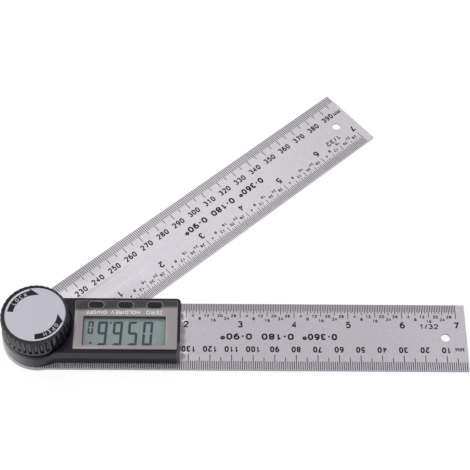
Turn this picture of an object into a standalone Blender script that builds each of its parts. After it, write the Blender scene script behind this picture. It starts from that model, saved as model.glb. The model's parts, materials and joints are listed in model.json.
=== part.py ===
"""Angle finder with two scale arms, a display housing and a clamp knob.

Metres, +Z up. The origin is where the pivot axis meets the underside of the swing arm.
The base arm lies along +X, the swing arm is turned about the pivot axis.
"""
import math

import bmesh
import bpy
from mathutils import Matrix, Vector

# Driving dimensions of the arms
arm_length = 0.2000
arm_width = 0.0350
arm_thickness = 0.0012
arm_corner = 0.0004
hang_hole_radius = 0.0021
hang_hole_inset = 0.0099
swing_angle_deg = 40.85

# Driving dimensions of the housing
housing_reach = 0.0664
housing_width = 0.0291
housing_height = 0.0100
housing_corner = 0.0022
housing_wall = 0.0014
housing_roof = 0.0010
housing_draft = 0.0002
housing_edge_round = 0.0005
body_start_share = 0.25
boss_radius = 0.0167
boss_height = 0.0075
boss_roof = 0.0012
boss_draft = 0.0003
boss_edge_round = 0.0005

# Driving dimensions of the knob
knob_radius = 0.0155
knob_height = 0.0119
knob_clearance = 0.0008

# Gaps
seat_gap = 0.0001
turn_gap = 0.0002
side_gap = 0.0003
overrun = 0.0010
weld_distance = 0.000001
turned_weld_distance = 0.00001
flat_angle = 0.001

# Display panel, window and liquid crystal display
panel_near_gap = 0.0010
panel_far_inset = 0.0016
panel_side_inset = 0.0019
panel_thickness = 0.0005
panel_corner = 0.0005
window_near_margin = 0.0041
window_far_margin = 0.0054
window_front_margin = 0.00185
caption_band = 0.0042
window_corner = 0.0004
lens_margin = 0.0007
lens_thickness = 0.0005
lip_gap = 0.0002
lcd_margin = 0.0010
lcd_thickness = 0.0014
lcd_frame_wall = 0.0008
lcd_frame_height = 0.0018
connector_width = 0.0016
connector_end_gap = 0.0020

# Buttons and their snap domes
button_length = 0.0070
button_width = 0.0033
button_place_shares = (0.205, 0.491, 0.776)
button_edge_margin = 0.00065
button_gap = 0.0002
button_proud = 0.0003
button_round = 0.0003
button_travel = 0.0004
button_stop_gap = 0.0001
button_flange_length_margin = 0.0010
button_flange_width_margin = 0.00035
button_flange_thickness = 0.0006
button_stem_radius = 0.0010
dome_radius = 0.0016
dome_height = 0.0005
dome_wall = 0.00015

# Circuit board and tray
board_thickness = 0.0008
tray_thickness = 0.0010
tray_post_radius = 0.0018
board_screw_shank = 0.0008
board_screw_head = 0.0014
board_screw_head_height = 0.0009
board_screw_length = 0.0030
screw_gap = 0.0002
screw_slot_width = 0.0005
screw_slot_depth = 0.0004

# Housing screws and the posts that they enter
post_radius = 0.0023
post_near_offset = 0.0011
post_wall_bite = 0.0001
post_lift = 0.0003
housing_screw_shank = 0.0010
housing_screw_head = 0.0020
housing_screw_head_height = 0.0008
housing_screw_length = 0.0060

# Coin cell, its cover and its contacts
cell_side_room = 0.0027
cell_height = 0.0032
cell_rim_step = 0.0010
cell_rim_height = 0.0006
cover_neck_gap = 0.0002
cover_neck_wall = 0.0007
cover_neck_height = 0.0019
cover_lug_reach = 0.0012
cover_lug_width = 0.0040
cover_lug_thickness = 0.0006
cover_turn_deg = 60.0
coin_slot_length = 0.0130
coin_slot_width = 0.0018
coin_slot_depth = 0.0005
contact_thickness = 0.0002
contact_width = 0.0030
contact_foot = 0.0017
contact_reach = 0.0009
contact_spring_run = 0.0045

# Pivot parts
bolt_radius = 0.0030
bolt_head_radius = 0.0050
bolt_head_height = 0.0009
bolt_top_gap = 0.0009
spacer_radius = 0.0090
spacer_thickness = 0.0003
bush_wall = 0.0018
bush_flange = 0.0020
bush_flange_thickness = 0.0010
stator_radius = 0.0142
stator_thickness = 0.0010
stator_tab_reach = 0.0024
stator_tab_width = 0.0080
rotor_radius = 0.0132
rotor_thickness = 0.0008
rotor_air_gap = 0.0004
rotor_hub_wall = 0.0018
wave_height = 0.00012
wave_count = 3
wave_washer_radius = 0.0060
wave_washer_thickness = 0.0002
boss_hole_gap = 0.0010
clamp_washer_radius = 0.0090
clamp_washer_thickness = 0.0003
ribbon_width = 0.0060
ribbon_thickness = 0.0002
ribbon_land = 0.0014
ribbon_board_land = 0.0030

# Knob parts
knob_flange_height = 0.0022
knob_top_chamfer = 0.0004
knob_foot_chamfer = 0.0003
knob_skirt_wall = 0.0022
knob_cap_thickness = 0.0025
knob_hub_wall = 0.0024
flute_count = 36
flute_radius = 0.00062
flute_offset = 0.0001
label_radius = 0.01385
label_thickness = 0.00035
label_recess_gap = 0.00015
insert_wall = 0.0020
insert_height = 0.0071

# Facet counts
round_steps = 64
ring_steps = 40
small_steps = 20
dome_steps = 16
dome_rings = 4
corner_steps = 5
flute_steps = 8

# Heights that the pieces share
swing_top = arm_thickness
spacer_low = swing_top + seat_gap
base_low = spacer_low + spacer_thickness + seat_gap
base_top = base_low + arm_thickness
housing_low = base_top + seat_gap
housing_top = base_top + housing_height
roof_low = housing_top - housing_roof
boss_top = base_top + boss_height
boss_roof_low = boss_top - boss_roof
panel_low = housing_top + seat_gap
panel_top = panel_low + panel_thickness
washer_low = boss_top + seat_gap
knob_low = washer_low + clamp_washer_thickness + seat_gap
knob_top = knob_low + knob_height

# Plan places that the pieces share
knob_pocket_radius = knob_radius + knob_clearance
inner_half_width = housing_width / 2 - housing_wall
inner_end = housing_reach - housing_wall
panel_start = knob_pocket_radius + panel_near_gap
panel_end = housing_reach - panel_far_inset
panel_half_width = housing_width / 2 - panel_side_inset
window_start = panel_start + window_near_margin
window_end = panel_end - window_far_margin
window_front = -panel_half_width + window_front_margin
button_row_y = panel_half_width - button_edge_margin - button_width / 2
window_back = button_row_y - button_width / 2 - caption_band
cell_x = (window_start + window_end) / 2
post_x_near = knob_pocket_radius + post_near_offset
post_x_far = inner_end - post_radius + post_wall_bite
post_y = inner_half_width - post_radius + post_wall_bite
board_start = post_x_near + post_radius + side_gap
board_end = post_x_far - post_radius - side_gap
board_half_width = inner_half_width - side_gap

# Heights inside the housing, from the roof down and from the arm up
lens_ledge = housing_top - lens_thickness - 2 * seat_gap
lcd_top = roof_low - seat_gap
lcd_low = lcd_top - lcd_thickness
lcd_frame_top = lcd_low - seat_gap
board_top = lcd_frame_top - lcd_frame_height - seat_gap
board_low = board_top - board_thickness
dome_low = board_top + seat_gap
dome_top = dome_low + dome_height
tray_low = base_top + seat_gap
tray_top = tray_low + tray_thickness
cover_disc_top = base_top - seat_gap
cell_low = cover_disc_top + seat_gap
cell_top = cell_low + cell_height

# Radii of the pivot stack
bush_inner = bolt_radius + turn_gap
bush_outer = bush_inner + bush_wall
bush_flange_radius = bush_outer + bush_flange
bush_flange_low = base_top + seat_gap
bush_top = bush_flange_low + bush_flange_thickness
stator_low = base_top + seat_gap
stator_top = stator_low + stator_thickness
rotor_hub_low = bush_top + seat_gap
rotor_low = max(stator_top, bush_top) + rotor_air_gap
rotor_inner = bolt_radius + seat_gap
rotor_hub_radius = rotor_inner + rotor_hub_wall
wave_washer_top = boss_roof_low - seat_gap
wave_washer_low = wave_washer_top - wave_washer_thickness - 2 * wave_height
rotor_hub_top = wave_washer_low - seat_gap
insert_inner = bolt_radius + turn_gap
insert_radius = insert_inner + insert_wall
insert_top = knob_low + insert_height
bolt_top = insert_top - bolt_top_gap

# Battery opening
cell_radius = inner_half_width - cell_side_room
cover_neck_inner = cell_radius + cover_neck_gap
cover_neck_outer = cover_neck_inner + cover_neck_wall
cover_lug_tip = cover_neck_outer + cover_lug_reach
tray_hole_radius = cover_neck_outer + turn_gap
cover_radius = cover_neck_outer + seat_gap
arm_opening_radius = cover_radius + turn_gap
cover_neck_top = cover_disc_top + cover_neck_height
cover_lug_low = tray_top + turn_gap


def clear_scene():
    """Removes whatever the file holds."""
    for old in list(bpy.data.objects):
        bpy.data.objects.remove(old, do_unlink=True)
    for old in list(bpy.data.collections):
        bpy.data.collections.remove(old)


def new_collection(name):
    """Adds a collection to the scene."""
    collection = bpy.data.collections.new(name)
    bpy.context.scene.collection.children.link(collection)
    return collection


def principled(name, colour, roughness, metallic):
    """Makes a plain Principled material."""
    made = bpy.data.materials.new(name)
    made.use_nodes = True
    shader = made.node_tree.nodes["Principled BSDF"]
    shader.inputs["Base Color"].default_value = (*colour, 1)
    shader.inputs["Roughness"].default_value = roughness
    shader.inputs["Metallic"].default_value = metallic
    return made


clear_scene()
parts = new_collection("angle_finder")
cutters = new_collection("cutters")

steel = principled("scale_steel", (0.52, 0.51, 0.54), 0.38, 1)
fastener_steel = principled("fastener_steel", (0.45, 0.45, 0.47), 0.35, 1)
spring_steel = principled("spring_steel", (0.60, 0.60, 0.62), 0.30, 1)
brass = principled("brass", (0.70, 0.52, 0.22), 0.35, 1)
black_plastic = principled("black_plastic", (0.022, 0.020, 0.026), 0.45, 0)
button_plastic = principled("button_plastic", (0.015, 0.015, 0.020), 0.35, 0)
panel_gloss = principled("panel_gloss", (0.34, 0.30, 0.29), 0.22, 0.3)
label_silver = principled("label_silver", (0.53, 0.53, 0.58), 0.40, 0.5)
lcd_glass = principled("lcd_glass", (0.25, 0.31, 0.30), 0.20, 0)
lens_clear = principled("lens_clear", (0.85, 0.88, 0.88), 0.05, 0)
board_green = principled("board_green", (0.03, 0.16, 0.07), 0.50, 0)
connector_rubber = principled("connector_rubber", (0.30, 0.30, 0.32), 0.70, 0)
ribbon_amber = principled("ribbon_amber", (0.45, 0.22, 0.05), 0.45, 0)


def place(name, mesh, material, collection=parts):
    """Puts a mesh in the scene as a named object."""
    made = bpy.data.objects.new(name, mesh)
    collection.objects.link(made)
    if material:
        mesh.materials.append(material)
    if collection is cutters:
        made.hide_render = True
        made.display_type = "WIRE"
    return made


def shade(made):
    """Shades round faces smooth and keeps the edges sharp."""
    made.data.shade_smooth()
    made.data.set_sharp_from_angle(angle=math.radians(35))
    return made


def box(name, low, high, material=None, collection=parts):
    """A box between two corners."""
    size = Vector(high) - Vector(low)
    middle = (Vector(high) + Vector(low)) / 2
    mesh = bpy.data.meshes.new(name)
    shape = bmesh.new()
    matrix = Matrix.Translation(middle) @ Matrix.Diagonal((*size, 1))
    bmesh.ops.create_cube(shape, size=1, matrix=matrix)
    shape.to_mesh(mesh)
    shape.free()
    return place(name, mesh, material, collection)


def rod(name, centre, radius, low, high, material=None, collection=parts, steps=round_steps):
    """A cylinder between two heights."""
    mesh = bpy.data.meshes.new(name)
    shape = bmesh.new()
    matrix = Matrix.Translation((centre[0], centre[1], (low + high) / 2))
    bmesh.ops.create_cone(shape, cap_ends=True, segments=steps, radius1=radius, radius2=radius,
                          depth=high - low, matrix=matrix)
    shape.to_mesh(mesh)
    shape.free()
    return shade(place(name, mesh, material, collection))


def turned(name, profile, material=None, collection=parts, steps=round_steps, centre=(0, 0), closed=True):
    """A turned piece. The profile's outer side runs top to bottom, as (radius, height)."""
    mesh = bpy.data.meshes.new(name)
    last = len(profile) - 1
    edges = [(i, i + 1) for i in range(last)]
    if closed:
        edges.append((last, 0))
    mesh.from_pydata([(radius, 0, height) for radius, height in profile], edges, [])
    made = place(name, mesh, material, collection)
    made.location = (centre[0], centre[1], 0)
    screw = made.modifiers.new("turn", "SCREW")
    screw.steps = steps
    screw.render_steps = steps
    screw.use_merge_vertices = True
    screw.merge_threshold = turned_weld_distance
    screw.use_smooth_shade = True
    return made


def arc(centre, radius, start_deg, end_deg, steps):
    """Points along an arc, both ends included."""
    points = []
    for i in range(steps + 1):
        angle = math.radians(start_deg + (end_deg - start_deg) * i / steps)
        points.append((centre[0] + radius * math.cos(angle), centre[1] + radius * math.sin(angle)))
    return points


def rounded_outline(low_x, low_y, high_x, high_y, radius):
    """Outline of a rectangle with round corners, anticlockwise."""
    points = arc((high_x - radius, high_y - radius), radius, 0, 90, corner_steps)
    points += arc((low_x + radius, high_y - radius), radius, 90, 180, corner_steps)
    points += arc((low_x + radius, low_y + radius), radius, 180, 270, corner_steps)
    points += arc((high_x - radius, low_y + radius), radius, 270, 360, corner_steps)
    return points


def pill_outline(centre_x, centre_y, length, width):
    """Outline of a pill that lies along X, anticlockwise."""
    reach = (length - width) / 2
    points = arc((centre_x + reach, centre_y), width / 2, -90, 90, 2 * corner_steps)
    points += arc((centre_x - reach, centre_y), width / 2, 90, 270, 2 * corner_steps)
    return points


def arm_outline():
    """Outline of an arm: round at the pivot, nearly square at the far end."""
    half = arm_width / 2
    points = arc((arm_length - arm_corner, half - arm_corner), arm_corner, 0, 90, corner_steps)
    points += arc((0, 0), half, 90, 270, round_steps // 2)
    points += arc((arm_length - arm_corner, arm_corner - half), arm_corner, 270, 360, corner_steps)
    return points


def housing_outline():
    """Outline of the straight body: square where it ends inside the boss, round corners at the far end."""
    half = housing_width / 2
    corner_x = housing_reach - housing_corner
    near_x = boss_radius * body_start_share
    points = arc((corner_x, half - housing_corner), housing_corner, 0, 90, corner_steps)
    points += [(near_x, half), (near_x, -half)]
    points += arc((corner_x, housing_corner - half), housing_corner, 270, 360, corner_steps)
    return points


def plate(name, outline, low, high, material=None, collection=parts):
    """A flat outline extruded between two heights, as a welded mesh."""
    curve = bpy.data.curves.new(name, "CURVE")
    curve.dimensions = "2D"
    curve.fill_mode = "BOTH"
    curve.extrude = (high - low) / 2
    spline = curve.splines.new("POLY")
    spline.points.add(len(outline) - 1)
    for point, (x, y) in zip(spline.points, outline):
        point.co = (x, y, 0, 1)
    spline.use_cyclic_u = True
    guide = bpy.data.objects.new(name + "_outline", curve)
    bpy.context.scene.collection.objects.link(guide)
    guide.location = (0, 0, (low + high) / 2)
    bpy.context.view_layer.update()
    evaluated = guide.evaluated_get(bpy.context.evaluated_depsgraph_get())
    mesh = bpy.data.meshes.new_from_object(evaluated)
    mesh.name = name
    shape = bmesh.new()
    shape.from_mesh(mesh)
    bmesh.ops.remove_doubles(shape, verts=shape.verts, dist=weld_distance)
    bmesh.ops.recalc_face_normals(shape, faces=shape.faces)
    inner_edges = [edge for edge in shape.edges
                   if edge.is_manifold and abs(edge.calc_face_angle()) < flat_angle]
    bmesh.ops.dissolve_edges(shape, edges=inner_edges, use_verts=False)
    shape.to_mesh(mesh)
    shape.free()
    mesh.materials.clear()
    made = place(name, mesh, material, collection)
    made.matrix_world = guide.matrix_world
    bpy.data.objects.remove(guide, do_unlink=True)
    return shade(made)


def cut(target, cutter):
    """Takes the cutter's shape out of the target."""
    boolean = target.modifiers.new("cut_" + cutter.name, "BOOLEAN")
    boolean.operation = "DIFFERENCE"
    boolean.solver = "EXACT"
    boolean.object = cutter


def merge(target, other):
    """Joins another shape to the target as one body."""
    boolean = target.modifiers.new("join_" + other.name, "BOOLEAN")
    boolean.operation = "UNION"
    boolean.solver = "EXACT"
    boolean.object = other


def bevel_edges(made, chosen, width, segments):
    """Rounds the edges whose two ends pass the test."""
    mesh = made.data
    weights = mesh.attributes.new("bevel_weight_edge", "FLOAT", "EDGE")
    for edge in mesh.edges:
        ends = [mesh.vertices[i].co for i in edge.vertices]
        weights.data[edge.index].value = 1 if all(chosen(end) for end in ends) else 0
    bevel = made.modifiers.new("round", "BEVEL")
    bevel.limit_method = "WEIGHT"
    bevel.width = width
    bevel.segments = segments


def strip(name, points, width, material, along):
    """A bent strip: a line of (run, height) points swept sideways, then given its thickness."""
    mesh = bpy.data.meshes.new(name)
    shape = bmesh.new()
    rows = []
    for side in (-width / 2, width / 2):
        if along == "X":
            rows.append([shape.verts.new((run, side, height)) for run, height in points])
        else:
            rows.append([shape.verts.new((side, run, height)) for run, height in points])
    for i in range(len(points) - 1):
        shape.faces.new((rows[0][i], rows[0][i + 1], rows[1][i + 1], rows[1][i]))
    bmesh.ops.recalc_face_normals(shape, faces=shape.faces)
    shape.to_mesh(mesh)
    shape.free()
    return place(name, mesh, material)


def thicken(made, thickness):
    """Gives an open surface its thickness, half to each side."""
    solidify = made.modifiers.new("thickness", "SOLIDIFY")
    solidify.thickness = thickness
    solidify.offset = 0
    solidify.use_even_offset = True


def countersunk_profile(shank, head, head_height, low, high):
    """Profile of a countersunk screw whose head is down."""
    return [
        (0, high),
        (shank, high),
        (shank, low + head_height),
        (head, low),
        (0, low),
    ]


def countersunk_hole_profile(shank, head, head_height, low, high):
    """Profile of the hole for a countersunk screw. Its cone runs on below the face."""
    spread = overrun * (head - shank) / head_height
    return [
        (0, high + overrun),
        (shank + seat_gap, high + overrun),
        (shank + seat_gap, low + head_height),
        (head + seat_gap + spread, low - overrun),
        (0, low - overrun),
    ]


def make_base_arm():
    """The steel arm that carries the housing."""
    arm = plate("base_arm", arm_outline(), base_low, base_top, steel)
    bore = rod("base_bore", (0, 0), bush_outer + seat_gap, base_low - overrun, base_top + overrun,
               collection=cutters)
    cut(arm, bore)
    hang_x = arm_length - hang_hole_inset
    hang = rod("base_hang_hole", (hang_x, 0), hang_hole_radius, base_low - overrun, base_top + overrun,
               collection=cutters, steps=small_steps)
    cut(arm, hang)
    opening = rod("battery_opening", (cell_x, 0), arm_opening_radius, base_low - overrun, base_top + overrun,
                  collection=cutters)
    cut(arm, opening)
    for index, (x, y) in enumerate(housing_screw_places(), 1):
        profile = countersunk_hole_profile(housing_screw_shank, housing_screw_head, housing_screw_head_height,
                                           base_low, base_top)
        hole = turned(f"screw_hole_{index}", profile, collection=cutters, steps=small_steps, centre=(x, y),
                      closed=False)
        cut(arm, hole)


def make_swing_arm():
    """The steel arm that turns under the base arm. It is drawn along X and turned about the pivot."""
    arm = plate("swing_arm", arm_outline(), 0, swing_top, steel)
    hang_x = arm_length - hang_hole_inset
    hang = rod("swing_hang_hole", (hang_x, 0), hang_hole_radius, -overrun, swing_top + overrun,
               collection=cutters, steps=small_steps)
    profile = countersunk_hole_profile(bolt_radius, bolt_head_radius, bolt_head_height, 0, swing_top)
    seat = turned("bolt_seat", profile, collection=cutters, closed=False)
    turn = Matrix.Rotation(math.radians(swing_angle_deg), 4, "Z")
    cut(arm, hang)
    cut(arm, seat)
    arm.matrix_world = turn @ arm.matrix_world
    hang.matrix_world = turn @ hang.matrix_world


def housing_screw_places():
    """Centres of the four housing screws."""
    return [(x, y) for x in (post_x_near, post_x_far) for y in (-post_y, post_y)]


def board_screw_places():
    """Centres of the four board screws."""
    inside_frame = lcd_margin - lcd_frame_wall - side_gap - board_screw_head
    near = window_start - inside_frame
    far = window_end + inside_frame
    front = window_front - inside_frame
    back = window_back + lcd_margin + side_gap + board_screw_head
    return [(near, front), (near, back), (far, front), (far, back)]


def button_places():
    """Names and centres of the three buttons, from the knob outward."""
    places = []
    for name, share in zip(("power", "hold", "zero"), button_place_shares):
        places.append((name, panel_start + share * (panel_end - panel_start), button_row_y))
    return places


def make_housing_shell():
    """The black casing: a straight body and a round boss, trimmed flat, hollow and open below."""
    shell = plate("housing_shell", housing_outline(), housing_low - overrun, housing_top, black_plastic)
    top_z = max(vertex.co.z for vertex in shell.data.vertices)
    for vertex in shell.data.vertices:
        if vertex.co.z > 0:
            vertex.co.y -= math.copysign(housing_draft, vertex.co.y)
    bevel_edges(shell, lambda end: end.z > top_z - seat_gap, housing_edge_round, 3)
    pocket = rod("knob_pocket", (0, 0), knob_pocket_radius, boss_top - overrun, housing_top + overrun,
                 collection=cutters)
    half_facet = math.pi / round_steps
    pocket.matrix_world = Matrix.Rotation(half_facet, 4, "Z") @ pocket.matrix_world
    cut(shell, pocket)
    merge(shell, make_boss())
    cut(shell, box("floor_trim", (-2 * boss_radius, -housing_width, housing_low - 3 * overrun),
                   (2 * housing_reach, housing_width, housing_low), collection=cutters))
    for cavity in housing_cavities():
        cut(shell, cavity)
    for index, (x, y) in enumerate(housing_screw_places(), 1):
        post = rod(f"post_{index}", (x, y), post_radius, housing_low + post_lift, roof_low + housing_roof / 2,
                   collection=cutters, steps=small_steps)
        merge(shell, post)
    for index, (x, y) in enumerate(housing_screw_places(), 1):
        hole_top = base_low + housing_screw_length + side_gap
        hole = rod(f"post_hole_{index}", (x, y), housing_screw_shank + screw_gap, housing_low - overrun,
                   hole_top, collection=cutters, steps=small_steps)
        cut(shell, hole)
    for opening in housing_openings():
        cut(shell, opening)
    return shell


def make_boss():
    """The round boss under the knob, with a rounded upper edge."""
    high_radius = boss_radius - boss_draft
    profile = [(0, boss_top)]
    for radius, height in arc((high_radius - boss_edge_round, boss_top - boss_edge_round), boss_edge_round,
                              90, 0, corner_steps):
        profile.append((radius, height))
    foot = housing_low - 2 * overrun
    profile += [(boss_radius, foot), (0, foot)]
    return turned("boss", profile, collection=cutters, closed=False)


def housing_cavities():
    """The hollow inside the casing, in three overlapping parts."""
    cavity_start = knob_pocket_radius + housing_wall
    passage_half = inner_half_width - side_gap
    boss_inner = boss_radius - housing_wall
    return [
        rod("boss_hollow", (0, 0), boss_inner, housing_low - overrun, boss_roof_low, collection=cutters),
        box("passage_hollow", (0, -passage_half, housing_low - 2 * overrun),
            (cavity_start + overrun, passage_half, boss_roof_low - seat_gap), collection=cutters),
        box("body_hollow", (cavity_start, -inner_half_width, housing_low - 3 * overrun),
            (inner_end, inner_half_width, roof_low), collection=cutters),
    ]


def housing_openings():
    """The openings in the roof: window, lens seat, button holes and the bolt's hole."""
    lip = lip_gap
    seat = lens_margin + lip_gap
    openings = [
        plate("window_hole", rounded_outline(window_start - lip, window_front - lip, window_end + lip,
                                             window_back + lip, window_corner),
              roof_low - overrun, housing_top + overrun, collection=cutters),
        plate("lens_seat", rounded_outline(window_start - seat, window_front - seat, window_end + seat,
                                           window_back + seat, window_corner),
              lens_ledge, housing_top + 2 * overrun, collection=cutters),
    ]
    for name, x, y in button_places():
        outline = pill_outline(x, y, button_length + 2 * button_gap, button_width + 2 * button_gap)
        openings.append(plate(f"shell_hole_{name}", outline, roof_low - overrun, housing_top + overrun,
                              collection=cutters))
    openings.append(rod("boss_hole", (0, 0), bolt_radius + boss_hole_gap, boss_roof_low - overrun,
                        boss_top + overrun, collection=cutters))
    return openings


def make_display_panel():
    """The glossy face plate with the window and three button holes."""
    half = panel_half_width
    panel = plate("display_panel", rounded_outline(panel_start, -half, panel_end, half, panel_corner),
                  panel_low, panel_top, panel_gloss)
    window = rounded_outline(window_start, window_front, window_end, window_back, window_corner)
    cut(panel, plate("panel_window", window, panel_low - overrun, panel_top + overrun, collection=cutters))
    for name, x, y in button_places():
        outline = pill_outline(x, y, button_length + 2 * button_gap, button_width + 2 * button_gap)
        cut(panel, plate(f"panel_hole_{name}", outline, panel_low - overrun, panel_top + overrun,
                         collection=cutters))


def make_display():
    """Lens, liquid crystal panel, its frame and its connector."""
    plate("window_lens", rounded_outline(window_start - lens_margin, window_front - lens_margin,
                                         window_end + lens_margin, window_back + lens_margin, window_corner),
          lens_ledge + seat_gap, lens_ledge + seat_gap + lens_thickness, lens_clear)
    low = (window_start - lcd_margin, window_front - lcd_margin)
    high = (window_end + lcd_margin, window_back + lcd_margin)
    box("lcd_panel", (*low, lcd_low), (*high, lcd_top), lcd_glass)
    frame_low = board_top + seat_gap
    frame = box("lcd_frame", (*low, frame_low), (*high, lcd_frame_top), black_plastic)
    inner_low = (low[0] + lcd_frame_wall, low[1] + lcd_frame_wall)
    inner_high = (high[0] - lcd_frame_wall, high[1] - lcd_frame_wall)
    cut(frame, box("frame_hollow", (*inner_low, frame_low - overrun), (*inner_high, lcd_frame_top + overrun),
                   collection=cutters))
    strip_back = inner_high[1] - side_gap
    box("lcd_connector", (inner_low[0] + connector_end_gap, strip_back - connector_width, frame_low),
        (inner_high[0] - connector_end_gap, strip_back, lcd_frame_top), connector_rubber)


def make_buttons():
    """Three buttons with a retaining flange and a stem over a snap dome."""
    flange_high = roof_low - seat_gap
    flange_low = flange_high - button_flange_thickness
    stem_low = dome_top + button_travel + button_stop_gap
    for name, x, y in button_places():
        cap = plate(f"button_{name}", pill_outline(x, y, button_length, button_width),
                    (flange_low + flange_high) / 2, panel_top + button_proud, button_plastic)
        top_z = max(vertex.co.z for vertex in cap.data.vertices)
        bevel_edges(cap, lambda end: end.z > top_z - seat_gap, button_round, 2)
        flange = plate(f"flange_{name}", pill_outline(x, y, button_length + 2 * button_flange_length_margin,
                                                      button_width + 2 * button_flange_width_margin),
                       flange_low, flange_high, collection=cutters)
        stem = rod(f"stem_{name}", (x, y), button_stem_radius, stem_low, flange_high - seat_gap,
                   collection=cutters, steps=small_steps)
        merge(cap, flange)
        merge(cap, stem)


def make_dome_switches():
    """A thin metal snap dome under each button."""
    outer = dome_profile(dome_radius, dome_height)
    inner = dome_profile(dome_radius - dome_wall, dome_height - dome_wall)
    profile = outer + inner[::-1]
    for name, x, y in button_places():
        turned(f"dome_switch_{name}", profile, spring_steel, steps=dome_steps, centre=(x, y), closed=False)


def dome_profile(radius, height):
    """A quarter of an ellipse from the top of a dome down to its rim."""
    points = []
    for i in range(dome_rings + 1):
        angle = math.radians(90 * i / dome_rings)
        points.append((radius * math.sin(angle), dome_low + height * math.cos(angle)))
    return points


def make_circuit_board():
    """The board between the battery and the display, with four screw holes."""
    board = box("circuit_board", (board_start, -board_half_width, board_low),
                (board_end, board_half_width, board_top), board_green)
    for index, place_xy in enumerate(board_screw_places(), 1):
        cut(board, rod(f"board_hole_{index}", place_xy, board_screw_shank + screw_gap, board_low - overrun,
                       board_top + overrun, collection=cutters, steps=small_steps))


def make_board_screws():
    """Four pan head screws that hold the board on the tray posts."""
    head_low = board_top + seat_gap
    head_top = head_low + board_screw_head_height
    tip = head_low - board_screw_length
    for index, (x, y) in enumerate(board_screw_places(), 1):
        screw = turned(f"board_screw_{index}", [
            (0, head_top),
            (board_screw_head, head_top),
            (board_screw_head, head_low),
            (board_screw_shank, head_low),
            (board_screw_shank, tip),
            (0, tip),
        ], fastener_steel, steps=small_steps, centre=(x, y), closed=False)
        reach = board_screw_head + overrun
        half = screw_slot_width / 2
        slot = box(f"board_slot_{index}", (-reach, -half, head_top - screw_slot_depth),
                   (reach, half, head_top + overrun), collection=cutters)
        slot.location = (x, y, 0)
        cut(screw, slot)


def make_housing_screws():
    """Four countersunk screws, heads flush with the underside of the base arm."""
    for index, (x, y) in enumerate(housing_screw_places(), 1):
        profile = countersunk_profile(housing_screw_shank, housing_screw_head, housing_screw_head_height,
                                      base_low, base_low + housing_screw_length)
        screw = turned(f"housing_screw_{index}", profile, fastener_steel, steps=small_steps, centre=(x, y),
                       closed=False)
        reach = housing_screw_head / 2
        half = screw_slot_width / 2
        for turn, low, high in (("a", (-reach, -half), (reach, half)), ("b", (-half, -reach), (half, reach))):
            slot = box(f"cross_{index}_{turn}", (*low, base_low - overrun),
                       (*high, base_low + screw_slot_depth), collection=cutters)
            slot.location = (x, y, 0)
            cut(screw, slot)


def make_tray():
    """The flat chassis under the board, with four posts and the battery hole."""
    tray = box("housing_tray", (board_start, -board_half_width, tray_low),
               (board_end, board_half_width, tray_top), black_plastic)
    post_top = board_low - seat_gap
    for index, place_xy in enumerate(board_screw_places(), 1):
        merge(tray, rod(f"tray_post_{index}", place_xy, tray_post_radius, (tray_low + tray_top) / 2, post_top,
                        collection=cutters, steps=small_steps))
    for index, place_xy in enumerate(board_screw_places(), 1):
        hole_low = board_top - board_screw_length
        cut(tray, rod(f"tray_hole_{index}", place_xy, board_screw_shank + screw_gap, hole_low,
                      post_top + overrun, collection=cutters, steps=small_steps))
    cut(tray, rod("tray_battery_hole", (cell_x, 0), tray_hole_radius, tray_low - overrun, tray_top + overrun,
                  collection=cutters))
    slot_half = cover_lug_width / 2 + side_gap
    slot_reach = cover_lug_tip + side_gap
    cut(tray, box("lug_slot", (cell_x - slot_reach, -slot_half, tray_low - overrun),
                  (cell_x + slot_reach, slot_half, tray_top + overrun), collection=cutters))


def make_battery_cover():
    """The round cover in the underside of the base arm: disc, neck, two lugs and a coin slot."""
    cover = turned("battery_cover", [
        (0, cover_disc_top),
        (cover_neck_inner, cover_disc_top),
        (cover_neck_inner, cover_neck_top),
        (cover_neck_outer, cover_neck_top),
        (cover_neck_outer, cover_disc_top - seat_gap),
        (cover_radius, cover_disc_top - seat_gap),
        (cover_radius, base_low),
        (0, base_low),
    ], black_plastic, centre=(cell_x, 0), closed=False)
    turn = Matrix.Translation((cell_x, 0, 0)) @ Matrix.Rotation(math.radians(cover_turn_deg), 4, "Z")
    bite = cover_neck_outer - cover_neck_wall / 2
    lug_high = cover_lug_low + cover_lug_thickness
    for index, (start, end) in enumerate(((bite, cover_lug_tip), (-cover_lug_tip, -bite)), 1):
        lug = box(f"cover_lug_{index}", (start, -cover_lug_width / 2, cover_lug_low),
                  (end, cover_lug_width / 2, lug_high), collection=cutters)
        lug.matrix_world = turn
        merge(cover, lug)
    slot = box("coin_slot", (-coin_slot_length / 2, -coin_slot_width / 2, base_low - overrun),
               (coin_slot_length / 2, coin_slot_width / 2, base_low + coin_slot_depth), collection=cutters)
    slot.matrix_world = turn
    cut(cover, slot)


def make_coin_cell():
    """The coin cell, its smaller pole facing up to the board."""
    turned("coin_cell", [
        (0, cell_top),
        (cell_radius - cell_rim_step, cell_top),
        (cell_radius - cell_rim_step, cell_top - cell_rim_height),
        (cell_radius, cell_top - cell_rim_height),
        (cell_radius, cell_low),
        (0, cell_low),
    ], spring_steel, steps=ring_steps, centre=(cell_x, 0), closed=False)


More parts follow.
